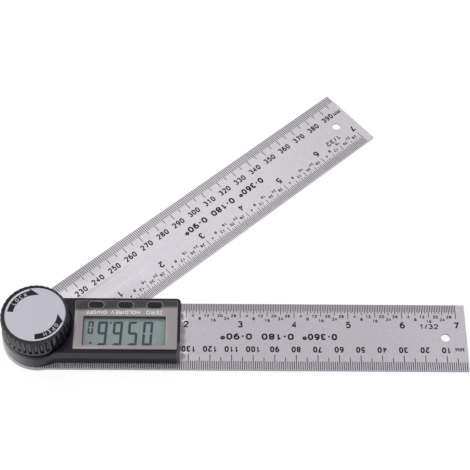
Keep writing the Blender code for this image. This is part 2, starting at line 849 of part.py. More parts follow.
def make_battery_contacts():
    """A leaf that presses on the top of the cell and a leaf beside its rim."""
    half = contact_thickness / 2
    under_board = board_low - seat_gap - half
    on_cell = cell_top + seat_gap + half
    leaf = strip("battery_contact_negative", [
        (-contact_spring_run - contact_foot, under_board),
        (-contact_spring_run, under_board),
        (-contact_reach, on_cell),
        (contact_reach, on_cell),
        (contact_reach + contact_reach, on_cell + contact_reach / 2),
    ], contact_width, spring_steel, "X")
    leaf.location = (cell_x, 0, 0)
    thicken(leaf, contact_thickness)
    beside_cell = cell_radius + turn_gap + half
    clip_low = cell_top - cell_rim_height - contact_reach / 2
    clip = strip("battery_contact_positive", [
        (beside_cell + contact_foot, under_board),
        (beside_cell, under_board),
        (beside_cell, clip_low),
    ], contact_width, spring_steel, "Y")
    clip.location = (cell_x, 0, 0)
    thicken(clip, contact_thickness)


def make_encoder():
    """Stator board, its ribbon, the rotor disc and its wave washer."""
    stator = turned("stator_disc", [
        (stator_radius, stator_top),
        (stator_radius, stator_low),
        (bush_flange_radius + side_gap, stator_low),
        (bush_flange_radius + side_gap, stator_top),
    ], board_green, steps=ring_steps)
    tab_end = stator_radius + stator_tab_reach
    merge(stator, box("stator_tab", (rotor_radius - overrun, -stator_tab_width / 2, stator_low),
                      (tab_end, stator_tab_width / 2, stator_top), collection=cutters))
    half = ribbon_thickness / 2
    on_stator = stator_top + seat_gap + half
    under_board = board_low - seat_gap - half
    ribbon = strip("encoder_ribbon", [
        (tab_end - ribbon_land, on_stator),
        (tab_end, on_stator),
        (board_start + ribbon_thickness, under_board),
        (board_start + ribbon_board_land, under_board),
    ], ribbon_width, ribbon_amber, "X")
    thicken(ribbon, ribbon_thickness)
    turned("rotor_disc", [
        (rotor_hub_radius, rotor_hub_top),
        (rotor_hub_radius, rotor_low + rotor_thickness),
        (rotor_radius, rotor_low + rotor_thickness),
        (rotor_radius, rotor_low),
        (rotor_hub_radius, rotor_low),
        (rotor_hub_radius, rotor_hub_low),
        (rotor_inner, rotor_hub_low),
        (rotor_inner, rotor_hub_top),
    ], board_green, steps=ring_steps)
    make_wave_washer()


def make_wave_washer():
    """A thin spring ring whose height waves three times round."""
    mesh = bpy.data.meshes.new("wave_washer")
    shape = bmesh.new()
    middle = (wave_washer_low + wave_washer_top) / 2
    rings = []
    for radius in (rotor_inner + seat_gap, wave_washer_radius):
        ring = []
        for i in range(ring_steps):
            angle = math.tau * i / ring_steps
            height = middle + wave_height * math.sin(wave_count * angle)
            ring.append(shape.verts.new((radius * math.cos(angle), radius * math.sin(angle), height)))
        rings.append(ring)
    for i in range(ring_steps):
        following = (i + 1) % ring_steps
        shape.faces.new((rings[0][i], rings[1][i], rings[1][following], rings[0][following]))
    shape.to_mesh(mesh)
    shape.free()
    thicken(place("wave_washer", mesh, spring_steel), wave_washer_thickness)


def make_pivot():
    """Bolt, spacer between the arms, bush and clamp washer."""
    turned("pivot_bolt", [
        (0, bolt_top),
        (bolt_radius, bolt_top),
        (bolt_radius, bolt_head_height),
        (bolt_head_radius, 0),
        (0, 0),
    ], fastener_steel, closed=False, steps=ring_steps)
    washer("arm_spacer", bush_inner, spacer_radius, spacer_low, spacer_low + spacer_thickness, spring_steel)
    turned("pivot_bush", [
        (bush_flange_radius, bush_top),
        (bush_flange_radius, bush_flange_low),
        (bush_outer, bush_flange_low),
        (bush_outer, base_low),
        (bush_inner, base_low),
        (bush_inner, bush_top),
    ], brass, steps=ring_steps)
    washer("clamp_washer", bush_inner, clamp_washer_radius, washer_low, washer_low + clamp_washer_thickness,
           spring_steel)


def washer(name, inner, outer, low, high, material):
    """A flat ring."""
    profile = [(outer, high), (outer, low), (inner, low), (inner, high)]
    return turned(name, profile, material, steps=ring_steps)


def make_knob():
    """The fluted knob, hollow below, with its brass insert and its silver label."""
    recess_low = knob_top - label_thickness - 2 * seat_gap
    recess_radius = label_radius + label_recess_gap
    skirt_inner = knob_radius - knob_skirt_wall
    hub_radius = insert_radius + seat_gap + knob_hub_wall
    cap_low = knob_top - knob_cap_thickness
    hole_top = insert_top + seat_gap
    knob = turned("lock_knob", [
        (0, recess_low),
        (recess_radius, recess_low),
        (recess_radius, knob_top),
        (knob_radius - knob_top_chamfer, knob_top),
        (knob_radius, knob_top - knob_top_chamfer),
        (knob_radius, knob_low + knob_foot_chamfer),
        (knob_radius - knob_foot_chamfer, knob_low),
        (skirt_inner, knob_low),
        (skirt_inner, cap_low),
        (hub_radius, cap_low),
        (hub_radius, knob_low),
        (insert_radius + seat_gap, knob_low),
        (insert_radius + seat_gap, hole_top),
        (0, hole_top),
    ], black_plastic, closed=False, steps=2 * flute_count)
    cut(knob, make_flutes())
    turned("knob_insert", [
        (insert_radius, insert_top),
        (insert_radius, knob_low),
        (insert_inner, knob_low),
        (insert_inner, insert_top),
    ], brass, steps=ring_steps)
    rod("knob_label", (0, 0), label_radius, recess_low + seat_gap, recess_low + seat_gap + label_thickness,
        label_silver)


def make_flutes():
    """The grooves round the knob, one cutter for all of them."""
    mesh = bpy.data.meshes.new("flutes")
    shape = bmesh.new()
    low = knob_low + knob_flange_height
    high = knob_top + overrun
    for i in range(flute_count):
        turn = Matrix.Rotation(math.tau * (i + 0.5) / flute_count, 4, "Z")
        shift = Matrix.Translation((knob_radius + flute_offset, 0, (low + high) / 2))
        bmesh.ops.create_cone(shape, cap_ends=True, segments=flute_steps, radius1=flute_radius,
                              radius2=flute_radius, depth=high - low, matrix=turn @ shift)
    shape.to_mesh(mesh)
    shape.free()
    return place("flutes", mesh, None, cutters)


make_swing_arm()
make_pivot()
make_base_arm()
make_encoder()
make_tray()
make_housing_shell()
make_housing_screws()
make_coin_cell()
make_battery_contacts()
make_battery_cover()
make_circuit_board()
make_board_screws()
make_dome_switches()
make_display()
make_buttons()
make_display_panel()
make_knob()
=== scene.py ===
"""Looks for the angle finder with arms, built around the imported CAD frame.

Lengths are in millimetres and angles in degrees. MM turns lengths into metres where they reach Blender.
"""
import json
import math

import bmesh
import bpy
from mathutils import Matrix, Vector


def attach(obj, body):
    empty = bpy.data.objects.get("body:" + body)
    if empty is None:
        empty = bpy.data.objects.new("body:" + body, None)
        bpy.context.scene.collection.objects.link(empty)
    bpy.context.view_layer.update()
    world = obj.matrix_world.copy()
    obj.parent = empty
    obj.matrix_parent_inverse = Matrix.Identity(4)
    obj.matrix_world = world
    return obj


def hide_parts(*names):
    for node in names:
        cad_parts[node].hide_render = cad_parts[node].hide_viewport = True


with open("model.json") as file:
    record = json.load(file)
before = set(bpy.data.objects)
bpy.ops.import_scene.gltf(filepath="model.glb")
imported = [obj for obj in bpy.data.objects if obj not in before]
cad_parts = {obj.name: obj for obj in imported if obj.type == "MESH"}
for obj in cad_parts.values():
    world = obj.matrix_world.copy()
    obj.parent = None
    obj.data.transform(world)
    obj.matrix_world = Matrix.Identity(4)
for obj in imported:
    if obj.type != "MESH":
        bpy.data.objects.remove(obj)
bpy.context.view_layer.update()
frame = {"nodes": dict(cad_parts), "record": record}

MM = 0.001
scene = bpy.context.scene

# Shapes that the CAD model has. A box seen from above is (x0, y0, x1, y1), a pair of heights is (low, high)
SWING_DEG = 40.85
SWING_Z = (0.0, 1.2)
BASE_Z = (1.7, 2.9)
ARM_LENGTH = 200.0
ARM_HALF = 17.5
ARM_CORNER = 0.5
HANG_X = 190.1
HANG_RADIUS = 2.1
BORE_RADIUS = 5.1
CELL_X = 40.4
CELL_HOLE_RADIUS = 11.25
SCREW_X = (17.4, 62.8)
SCREW_Y = (-10.5, 10.5)
SCREW_HOLE_RADIUS = 2.1
BODY_END = 66.4
BODY_HALF = 14.55
BODY_Z = (3.0, 12.9)
BOSS_RADIUS = 16.7
BOSS_TOP = 10.4
POCKET_RADIUS = 16.3
PANEL = (17.3, -12.82, 64.95, 12.8)
PANEL_Z = (13.0, 13.5)
WINDOW = (21.4, -10.8, 59.5, 4.5)
BUTTON_X = (27.04, 40.62, 54.16)
BUTTON_Y = 10.35
BUTTON_SIZE = (7.0, 3.3)
BUTTON_CAP = (6.8, 3.05)
LCD_Z = (10.4, 11.8)
LENS_Z = (12.3, 12.8)
KNOB_LOW = 10.9
KNOB_TOP = 22.8
KNOB_RADIUS = 15.5
LABEL_Z = (22.35, 22.70)
LABEL_RADIUS = 13.85


# Outlines
def arc(cx, cy, radius, start, end, steps):
    """Points along an arc, both ends included."""
    points = []
    for i in range(steps + 1):
        a = math.radians(start + (end - start) * i / steps)
        points.append((cx + radius * math.cos(a), cy + radius * math.sin(a)))
    return points


def circle(cx, cy, radius, steps):
    return arc(cx, cy, radius, 0, 360 - 360 / steps, steps - 1)


def oval(cx, cy, rx, ry, start, end, steps):
    """Points along an ellipse, both ends included."""
    return [(cx + rx * x, cy + ry * y) for x, y in arc(0, 0, 1, start, end, steps)]


def polar(radius, angle):
    a = math.radians(angle)
    return (radius * math.cos(a), radius * math.sin(a))


def grown(box, by):
    """A box seen from above, made larger on every side."""
    return (box[0] - by, box[1] - by, box[2] + by, box[3] + by)


def square(x0, y0, x1, y1):
    """Outline of a rectangle with sharp corners."""
    return [(x0, y0), (x1, y0), (x1, y1), (x0, y1)]


def rounded(x0, y0, x1, y1, r):
    """Outline of a rectangle with round corners."""
    steps = 8
    return (arc(x1 - r, y1 - r, r, 0, 90, steps) + arc(x0 + r, y1 - r, r, 90, 180, steps)
            + arc(x0 + r, y0 + r, r, 180, 270, steps) + arc(x1 - r, y0 + r, r, 270, 360, steps))


def pill(cx, cy, length, width, steps):
    """Outline of a pill along X."""
    reach = (length - width) / 2
    return (arc(cx + reach, cy, width / 2, -90, 90, steps)
            + arc(cx - reach, cy, width / 2, 90, 270, steps))


# Objects and meshes
WELD = 0.0005
SMOOTH_DEG = 35


def add_object(name, data):
    made = bpy.data.objects.new(name, data)
    scene.collection.objects.link(made)
    return made


def dress(made, materials, smooth_deg):
    """Gives an object its materials, and smooth shading but for its sharp edges."""
    made.data.materials.clear()
    for material in materials:
        made.data.materials.append(material)
    if smooth_deg:
        made.data.shade_smooth()
        made.data.set_sharp_from_angle(angle=math.radians(smooth_deg))


def paint_faces(made, material, chosen):
    """Gives a second material to the faces that a test picks."""
    made.data.materials.append(material)
    for face in made.data.polygons:
        if chosen(face):
            face.material_index = 1


def mesh_object(name, shape, material=None, smooth_deg=SMOOTH_DEG):
    """Turns a bmesh's faces outward and stores it as an object."""
    bmesh.ops.recalc_face_normals(shape, faces=shape.faces)
    mesh = bpy.data.meshes.new(name)
    shape.to_mesh(mesh)
    shape.free()
    made = add_object(name, mesh)
    dress(made, [material] if material else [], smooth_deg)
    return made


def solid(name, shape, material=None, smooth_deg=SMOOTH_DEG):
    """Welds the double points of a bmesh and stores it as an object."""
    bmesh.ops.remove_doubles(shape, verts=shape.verts, dist=WELD * MM)
    return mesh_object(name, shape, material, smooth_deg)


def marks_object(name, shape, material, turn_deg=0.0):
    """Stores a bmesh of printed or etched marks as an object, turned about the pivot."""
    turn = Matrix.Rotation(math.radians(turn_deg), 3, "Z")
    bmesh.ops.rotate(shape, verts=shape.verts, cent=(0, 0, 0), matrix=turn)
    return mesh_object(name, shape, material, 0)


def vert(shape, x, y, z):
    return shape.verts.new((x * MM, y * MM, z * MM))


def bridge(shape, rings):
    """Joins neighbouring rings of vertices with faces. A ring of one vertex is a pole."""
    for one, two in zip(rings, rings[1:]):
        count = max(len(one), len(two))
        if count == 1:
            continue
        for i in range(count):
            j = (i + 1) % count
            corners = [one[i % len(one)], one[j % len(one)], two[j % len(two)], two[i % len(two)]]
            shape.faces.new(list(dict.fromkeys(corners)))


def skin(shape, rings):
    """Joins rings of vertices and closes the first and the last."""
    bridge(shape, rings)
    shape.faces.new(rings[0][::-1])
    shape.faces.new(rings[-1])


def slab(name, outlines, low, high, material=None, bevel=0.0):
    """Extrudes outlines between two heights. Inner outlines are holes. The edges may be rounded."""
    curve = bpy.data.curves.new(name, "CURVE")
    curve.dimensions = "2D"
    curve.fill_mode = "BOTH"
    curve.extrude = ((high - low) / 2 - bevel) * MM
    curve.bevel_depth = bevel * MM
    curve.bevel_resolution = 2
    curve.offset = -bevel * MM
    for outline in outlines:
        spline = curve.splines.new("POLY")
        spline.points.add(len(outline) - 1)
        for point, (x, y) in zip(spline.points, outline):
            point.co = (x * MM, y * MM, 0, 1)
        spline.use_cyclic_u = True
    guide = add_object(name, curve)
    bpy.context.view_layer.update()
    evaluated = guide.evaluated_get(bpy.context.evaluated_depsgraph_get())
    raw = bpy.data.meshes.new_from_object(evaluated)
    bpy.data.objects.remove(guide, do_unlink=True)
    bpy.data.curves.remove(curve)
    shape = bmesh.new()
    shape.from_mesh(raw)
    bpy.data.meshes.remove(raw)
    bmesh.ops.translate(shape, verts=shape.verts, vec=(0, 0, (low + high) / 2 * MM))
    return solid(name, shape, material)


def lathe(name, profile, material=None, steps=128, centre=(0, 0)):
    """Turns a closed profile of (radius, height) points about a vertical axis."""
    shape = bmesh.new()
    rings = []
    for radius, height in profile:
        outline = circle(*centre, radius, steps) if radius else [centre]
        rings.append([vert(shape, x, y, height) for x, y in outline])
    bridge(shape, rings + [rings[0]])
    return solid(name, shape, material)


def carve(made, cutters, operation="DIFFERENCE"):
    """Applies one boolean after another to an object and removes the cutters."""
    for cutter in cutters:
        boolean = made.modifiers.new("carve", "BOOLEAN")
        boolean.operation = operation
        boolean.solver = "EXACT"
        boolean.object = cutter
    bpy.context.view_layer.update()
    evaluated = made.evaluated_get(bpy.context.evaluated_depsgraph_get())
    mesh = bpy.data.meshes.new_from_object(evaluated)
    made.modifiers.clear()
    spent = [made.data] + [cutter.data for cutter in cutters]
    made.data = mesh
    for cutter in cutters:
        bpy.data.objects.remove(cutter, do_unlink=True)
    for data in spent:
        bpy.data.meshes.remove(data)


def add_bar(shape, x0, y0, x1, y1, low, high):
    """Adds a thin upright block to a bmesh."""
    size = ((x1 - x0) * MM, (y1 - y0) * MM, (high - low) * MM, 1)
    middle = ((x0 + x1) / 2 * MM, (y0 + y1) / 2 * MM, (low + high) / 2 * MM)
    bmesh.ops.create_cube(shape, size=1, matrix=Matrix.Translation(middle) @ Matrix.Diagonal(size))


def add_plate(shape, outline, low, high):
    """Adds a thin plate of any plain outline to a bmesh."""
    skin(shape, [[vert(shape, x, y, z) for x, y in outline] for z in (low, high)])


def add_ring_part(shape, inner, outer, start, end, low, high, steps=40):
    """Adds a part of a flat ring to a bmesh."""
    rings = []
    for near, far in zip(arc(0, 0, inner, start, end, steps), arc(0, 0, outer, start, end, steps)):
        corners = ((near, low), (far, low), (far, high), (near, high))
        rings.append([vert(shape, x, y, z) for (x, y), z in corners])
    skin(shape, rings)


# Plain numbers and letters: a width in heights, and strokes in a box of one by one
SIX = [oval(0.5, 0.31, 0.5, 0.31, 0, 360, 14), oval(0.56, 0.40, 0.56, 0.60, 180, 62, 7)]
BOWL = [(0, 0), (0, 1), (0.55, 1)] + oval(0.6, 0.73, 0.4, 0.27, 78, -78, 6) + [(0.55, 0.46), (0, 0.46)]
STROKES = {
    "0": (0.62, [oval(0.5, 0.68, 0.5, 0.32, 0, 180, 8) + oval(0.5, 0.32, 0.5, 0.32, 180, 360, 8)
                 + [(1, 0.68)]]),
    "1": (0.62, [[(0.12, 0.74), (0.60, 1), (0.60, 0)]]),
    "2": (0.62, [oval(0.5, 0.72, 0.5, 0.28, 170, -28, 10) + [(0.02, 0), (1, 0)]]),
    "3": (0.62, [oval(0.47, 0.755, 0.45, 0.245, 160, -90, 9), oval(0.5, 0.255, 0.5, 0.255, 90, -160, 9)]),
    "4": (0.62, [[(0.72, 0), (0.72, 1), (0, 0.27), (1, 0.27)]]),
    "5": (0.62, [[(0.93, 1), (0.18, 1), (0.07, 0.52)] + oval(0.46, 0.33, 0.54, 0.33, 125, -150, 10)]),
    "6": (0.62, SIX),
    "7": (0.62, [[(0, 1), (1, 1), (0.36, 0)]]),
    "8": (0.62, [oval(0.5, 0.76, 0.44, 0.24, 0, 360, 12), oval(0.5, 0.26, 0.5, 0.26, 0, 360, 12)]),
    "9": (0.62, [[(1 - x, 1 - y) for x, y in stroke] for stroke in SIX]),
    "-": (0.40, [[(0, 0.42), (1, 0.42)]]),
    "/": (0.36, [[(0, 0), (1, 1)]]),
    "°": (0.50, [oval(0.5, 0.77, 0.5, 0.23, 0, 360, 12)]),
    "C": (0.74, [oval(0.5, 0.5, 0.5, 0.5, 48, 312, 12)]),
    "D": (0.72, [[(0, 0), (0, 1), (0.45, 1)] + oval(0.45, 0.5, 0.55, 0.5, 78, -78, 8)
                 + [(0.45, 0), (0, 0)]]),
    "E": (0.62, [[(1, 1), (0, 1), (0, 0), (1, 0)], [(0, 0.52), (0.88, 0.52)]]),
    "F": (0.58, [[(1, 1), (0, 1), (0, 0)], [(0, 0.5), (0.85, 0.5)]]),
    "H": (0.72, [[(0, 0), (0, 1)], [(1, 0), (1, 1)], [(0, 0.5), (1, 0.5)]]),
    "K": (0.70, [[(0, 0), (0, 1)], [(0.95, 1), (0.02, 0.36)], [(0.34, 0.6), (1, 0)]]),
    "L": (0.56, [[(0, 1), (0, 0), (1, 0)]]),
    "M": (0.86, [[(0, 0), (0, 1), (0.5, 0.15), (1, 1), (1, 0)]]),
    "N": (0.72, [[(0, 0), (0, 1), (1, 0), (1, 1)]]),
    "O": (0.80, [oval(0.5, 0.5, 0.5, 0.5, 0, 360, 18)]),
    "P": (0.64, [BOWL]),
    "R": (0.68, [BOWL, [(0.5, 0.46), (1, 0)]]),
    "V": (0.72, [[(0, 1), (0.5, 0), (1, 1)]]),
    "Z": (0.66, [[(0, 1), (1, 1), (0, 0), (1, 0)]]),
}
LETTER_SPACE = 0.115
SHARPEST_MITRE = 0.55
STROKE_RISE = 0.0005
GLYPH_RISE = 0.0063


def add_stroke(shape, points, thick, low, high, put):
    """Adds one stroke of even width. A stroke that ends where it starts is closed.

    Each point lies a trace higher than the last, so that no two faces of a glyph share a plane."""
    closed = math.dist(points[0], points[-1]) < 0.001
    if closed:
        points = points[:-1]
    count = len(points)
    rings = []
    for i, (x, y) in enumerate(points):
        normals = []
        if closed or i > 0:
            before = points[i - 1]
            normals.append(Vector((before[1] - y, x - before[0])).normalized())
        if closed or i < count - 1:
            after = points[(i + 1) % count]
            normals.append(Vector((y - after[1], after[0] - x)).normalized())
        middle = sum(normals, Vector((0, 0))).normalized()
        reach = thick / 2 / max(SHARPEST_MITRE, middle.dot(normals[0]))
        left = (x + middle.x * reach, y + middle.y * reach)
        right = (x - middle.x * reach, y - middle.y * reach)
        roof = high + i * STROKE_RISE
        corners = (put(*left, roof), put(*right, roof), put(*right, low), put(*left, low))
        rings.append([vert(shape, *corner) for corner in corners])
    if closed:
        bridge(shape, rings + [rings[0]])
    else:
        skin(shape, rings)


def add_text(shape, text, x, y, width, height, turn_deg, low, high, weight, bend=None):
    """Adds a text centred on a point, fitted to a height and, if one is given, to a width.

    With bend, the text follows a circle of that radius about the origin, and x is its angle."""
    total = sum(STROKES[letter][0] for letter in text) + LETTER_SPACE * (len(text) - 1)
    fit = width / (total * height) if width else 1
    thick = weight * height
    cos, sin = math.cos(math.radians(turn_deg)), math.sin(math.radians(turn_deg))

    def put(u, v, z):
        if bend:
            a = math.radians(x) - u / bend
            return ((bend + v) * math.cos(a), (bend + v) * math.sin(a), z)
        return (x + u * cos - v * sin, y + u * sin + v * cos, z)

    start = -total * height * fit / 2
    for letter in text:
        wide, strokes = STROKES[letter]
        box = wide * height * fit
        for order, stroke in enumerate(strokes):
            points = [(start + thick / 2 + px * (box - thick), (py - 0.5) * (height - thick))
                      for px, py in stroke]
            add_stroke(shape, points, thick, low, high + order * GLYPH_RISE, put)
        start += box + LETTER_SPACE * height * fit


# Nodes of materials
def feed(node, inputs):
    """Sets inputs of a node, each to a value or to the socket that feeds it."""
    for name, value in inputs.items():
        if isinstance(value, bpy.types.NodeSocket):
            node.id_data.links.new(value, node.inputs[name])
        else:
            node.inputs[name].default_value = value


def add_node(made, kind, inputs=None, **settings):
    """Adds a node to a material. Settings are the node's own, such as its operation."""
    node = made.node_tree.nodes.new("ShaderNode" + kind)
    for name, value in settings.items():
        setattr(node, name, value)
    feed(node, inputs or {})
    return node


def calculate(made, operation, *values):
    """The result of a Math node. Each value is a number or a socket."""
    return add_node(made, "Math", dict(enumerate(values)), operation=operation).outputs[0]


def mix(made, share, first, second, blend_type="MIX"):
    """The mixture of two colours. A Mix node keeps its colours in inputs 6 and 7 and in output 2."""
    inputs = {0: share, 6: first, 7: second}
    return add_node(made, "Mix", inputs, data_type="RGBA", blend_type=blend_type).outputs[2]


def own_frame(made, turn_deg=0.0):
    """Where a point lies in the object's own frame, turned about Z."""
    place = add_node(made, "TexCoord").outputs["Object"]
    turn = (0, 0, -math.radians(turn_deg))
    return add_node(made, "Mapping", {"Vector": place, "Rotation": turn}).outputs["Vector"]


def own_axes(made, turn_deg=0.0):
    """The same, taken apart into X, Y and Z."""
    return add_node(made, "SeparateXYZ", {"Vector": own_frame(made, turn_deg)}).outputs


def fade(made, place, start, end, first=0.0, last=1.0):
    """A value that goes smoothly from first to last between two places and is even outside them."""
    inputs = {"Value": place, "From Min": start * MM, "From Max": end * MM, "To Min": first, "To Max": last}
    return add_node(made, "MapRange", inputs, interpolation_type="SMOOTHSTEP").outputs["Result"]


def base_colour(made):
    return made.node_tree.nodes["Principled BSDF"].inputs["Base Color"]


def recolour(made, operation, socket, value):
    """Scales a material's colour or adds to it."""
    inputs = {0: base_colour(made).links[0].from_socket, socket: value}
    changed = add_node(made, "VectorMath", inputs, operation=operation).outputs[0]
    made.node_tree.links.new(changed, base_colour(made))


def brighten_along(made, start, end, first, last, turn_deg=0.0):
    """Scales a colour by a gain that changes along X. On the steels and at the display's far edge this is
    painted light and shade, for a part that isn't evenly lit.
    """
    recolour(made, "SCALE", "Scale", fade(made, own_axes(made, turn_deg)["X"], start, end, first, last))


def patch_share(made, edges):
    """A socket that is one on a patch and fades to nothing past its edges.

    Each edge is an axis, the place up to which the patch is full and the place where it ends."""
    axes = own_axes(made)
    share = 1.0
    for axis, full, gone in edges:
        share = calculate(made, "MULTIPLY", share, fade(made, axes[axis], full, gone, 1.0, 0.0))
    return share


def lift_patch(made, edges, lift):
    """Lightens a patch by a share of its own colour, as painted light."""
    gain = calculate(made, "MULTIPLY_ADD", patch_share(made, edges), lift, 1.0)
    recolour(made, "SCALE", "Scale", gain)


def dust_patch(made, edges, grey):
    """Adds a grey sheen to a patch, as painted light."""
    recolour(made, "ADD", 1, calculate(made, "MULTIPLY", patch_share(made, edges), grey))


NOISE_DETAIL = 3.0
NOISE_SPAN = (0.3, 0.7)
LEAST_ROUGH = 0.02
BUMP_DEPTH = 0.02


def finish(name, colour, rough, metal=0.0, grain=900.0, stretch=(1, 1, 1), turn_deg=0.0, spread=0.08,
           rough_spread=0.06, bump=0.10, specular=0.5, alpha=1.0, brushed=0.0, tint=None):
    """A Principled material whose colour, roughness and bump follow noise in the object's own frame.

    The grain is in waves per metre, and stretch scales it along each axis. A tint is the other colour that
    the noise blends with."""
    made = bpy.data.materials.new(name)
    made.use_nodes = True
    scale = tuple(grain * s for s in stretch)
    grid = add_node(made, "Mapping", {"Vector": own_frame(made, turn_deg), "Scale": scale})
    inputs = {"Vector": grid.outputs["Vector"], "Scale": 1, "Detail": NOISE_DETAIL}
    noise = add_node(made, "TexNoise", inputs).outputs["Fac"]
    dark = (*[c * (1 - spread) for c in colour], 1)
    light = (*[min(1, c * (1 + spread)) for c in tint or colour], 1)
    roughness = add_node(made, "MapRange", {
        "Value": noise, "From Min": NOISE_SPAN[0], "From Max": NOISE_SPAN[1],
        "To Min": max(LEAST_ROUGH, rough - rough_spread), "To Max": rough + rough_spread,
    })
    shader = made.node_tree.nodes["Principled BSDF"]
    feed(shader, {
        "Base Color": mix(made, noise, dark, light), "Roughness": roughness.outputs["Result"],
        "Metallic": metal, "Specular IOR Level": specular, "Alpha": alpha, "Anisotropic": brushed,
    })
    if brushed:
        across = (*polar(1, turn_deg + 90), 0)
        streak = add_node(made, "VectorTransform", {"Vector": across}, vector_type="VECTOR",
                          convert_from="OBJECT", convert_to="WORLD")
        feed(shader, {"Tangent": streak.outputs["Vector"]})
    if bump:
        inputs = {"Height": noise, "Strength": bump, "Distance": BUMP_DEPTH * MM}
        feed(shader, {"Normal": add_node(made, "Bump", inputs).outputs["Normal"]})
    return made


# Steels. Painted light: the base arm is painted lighter beside the housing's end wall, to cancel the dark
# strip of that wall which it mirrors
STEEL = dict(rough=0.30, metal=1.0, grain=1000, stretch=(0.5, 1.3, 1), spread=0.17, bump=0.04, brushed=0.9)
SHEARED = dict(rough=0.50, metal=1.0, grain=1500, stretch=(1, 1, 0.2), spread=0.12, bump=0.06)
PAINTED_LIGHT_BESIDE_HOUSING = (("X", BODY_END, BODY_END - 1.0), ("X", BODY_END + 1.0, BODY_END + 3.8),
                  ("Y", -11.0, -13.8), ("Y", 11.0, 13.8), ("Z", BASE_Z[1] - 0.1, BASE_Z[1] - 0.6))
# Lit and shaded copies of one brushed steel: the swing arm's is painted lighter than the base arm's, for
# the highlight it catches
base_steel_shaded = finish("brushed_steel_base_shaded", (0.56, 0.543, 0.586), **STEEL)
swing_steel_lit = finish("brushed_steel_swing_lit", (0.79, 0.77, 0.82), turn_deg=SWING_DEG, **STEEL)
# Sheared edges: a rough finish of their own, painted darker as shade, the swing arm's copy lighter like its
# faces
cut_base_shaded = finish("sheared_edge_base_shaded", (0.32, 0.31, 0.33), **SHEARED)
cut_swing_shaded = finish("sheared_edge_swing_shaded", (0.46, 0.45, 0.48), **SHEARED)
# Painted light: the base arm grows lighter towards its far end
brighten_along(base_steel_shaded, 150, 200, 1.01, 1.09)
# Painted shade: the swing arm darkens near the pivot, beside the knob's boss, and towards its far end
brighten_along(swing_steel_lit, 30, 62, 0.80, 1.0, SWING_DEG)
brighten_along(swing_steel_lit, 110, 195, 1.0, 0.88, SWING_DEG)
# Painted light beside the housing's end wall
lift_patch(base_steel_shaded, PAINTED_LIGHT_BESIDE_HOUSING, 0.70)

# Other metals
fastener_steel = finish("bright_fastener_steel", (0.45, 0.45, 0.47), 0.32, metal=1.0, grain=2500)
spring_steel = finish("plated_spring_steel", (0.58, 0.58, 0.60), 0.30, metal=1.0, grain=1800, spread=0.07)
brass = finish("turned_brass", (0.62, 0.44, 0.17), 0.33, metal=1.0, grain=1500, stretch=(1, 1, 8),
               spread=0.10)
# Bright rim metal for the rings round the buttons, and for the panel's rim, where it is a painted highlight
chrome_and_highlight = finish("bright_rim_and_highlight", (0.21, 0.20, 0.205), 0.35, metal=0.6, grain=3000, spread=0.10, bump=0.04)
silver = finish("matt_silver_label", (0.51, 0.505, 0.57), 0.45, metal=0.35, grain=5000, spread=0.05,
                bump=0.04)

# Plastics. Painted light on the casing: a grey sheen over the boss, and a painted highlight at the near
# corner of its far end
MOULDED = dict(grain=4200, spread=0.15, rough_spread=0.03, bump=0.04)
SHEEN_OVER_BOSS = (("X", -16, 3),)
HIGHLIGHT_AT_FAR_CORNER = (("X", 65.3, 64.3), ("Y", -9.6, -8.6))
black_plastic = finish("satin_black_plastic", (0.0155, 0.0125, 0.0215), 0.20, specular=0.22, **MOULDED)
knob_plastic = finish("moulded_black_knob", (0.014, 0.0115, 0.020), 0.19, specular=0.36, **MOULDED)
button_plastic = finish("black_button", (0.0085, 0.008, 0.012), 0.30, grain=5000, spread=0.15, bump=0.06,
                        specular=0.25)
window_wall = finish("grey_window_wall", (0.085, 0.085, 0.09), 0.5, grain=3000, spread=0.10, bump=0.0)
dust_patch(black_plastic, SHEEN_OVER_BOSS, 0.18)
dust_patch(black_plastic, HIGHLIGHT_AT_FAR_CORNER, 0.055)

# Prints, and the silver of the label's painted highlights
etched = finish("black_etched_marks", (0.012, 0.011, 0.014), 0.6, grain=6000, spread=0.25, bump=0.0,
                specular=0.12)
painted_highlight_silver = finish("silver_painted_highlight", (0.62, 0.62, 0.65), 0.45, grain=5000, spread=0.04, bump=0.0)
arrow_black = finish("printed_arrow_black", (0.016, 0.014, 0.020), 0.5, grain=5000, spread=0.2, bump=0.0,
                     specular=0.15)
arrow_white = finish("printed_arrow_white", (0.52, 0.52, 0.53), 0.5, grain=5000, spread=0.06, bump=0.0)
caption_print = finish("pale_caption_print", (0.74, 0.69, 0.69), 0.45, grain=5000, spread=0.08, bump=0.0)

# Display and parts inside
lcd_back = finish("grey_green_display", (0.24, 0.28, 0.297), 0.35, grain=120, spread=0.06, bump=0.0,
                  tint=(0.245, 0.31, 0.295))
# Painted shadow: the display darkens towards the window's far edge, under the panel
brighten_along(lcd_back, 2.0, 4.5, 1.0, 0.60, 90)
brighten_along(lcd_back, 25, 58, 1.0, 1.10)
lcd_ink = finish("display_digit_grey", (0.070, 0.080, 0.098), 0.6, grain=3000, spread=0.12, bump=0.0,
                 specular=0.1)
board_green = finish("circuit_board_green", (0.03, 0.16, 0.07), 0.45, grain=700, spread=0.25, bump=0.15)
connector_rubber = finish("striped_rubber", (0.16, 0.16, 0.17), 0.65, grain=2600, stretch=(1, 0.02, 0.02),
                          spread=0.5, tint=(0.34, 0.30, 0.22))
ribbon_amber = finish("amber_film", (0.42, 0.20, 0.05), 0.35, grain=1400, stretch=(0.1, 1, 1), spread=0.2)

GLOSS_FROM = 0.35
MOST_GLOSS = 0.5


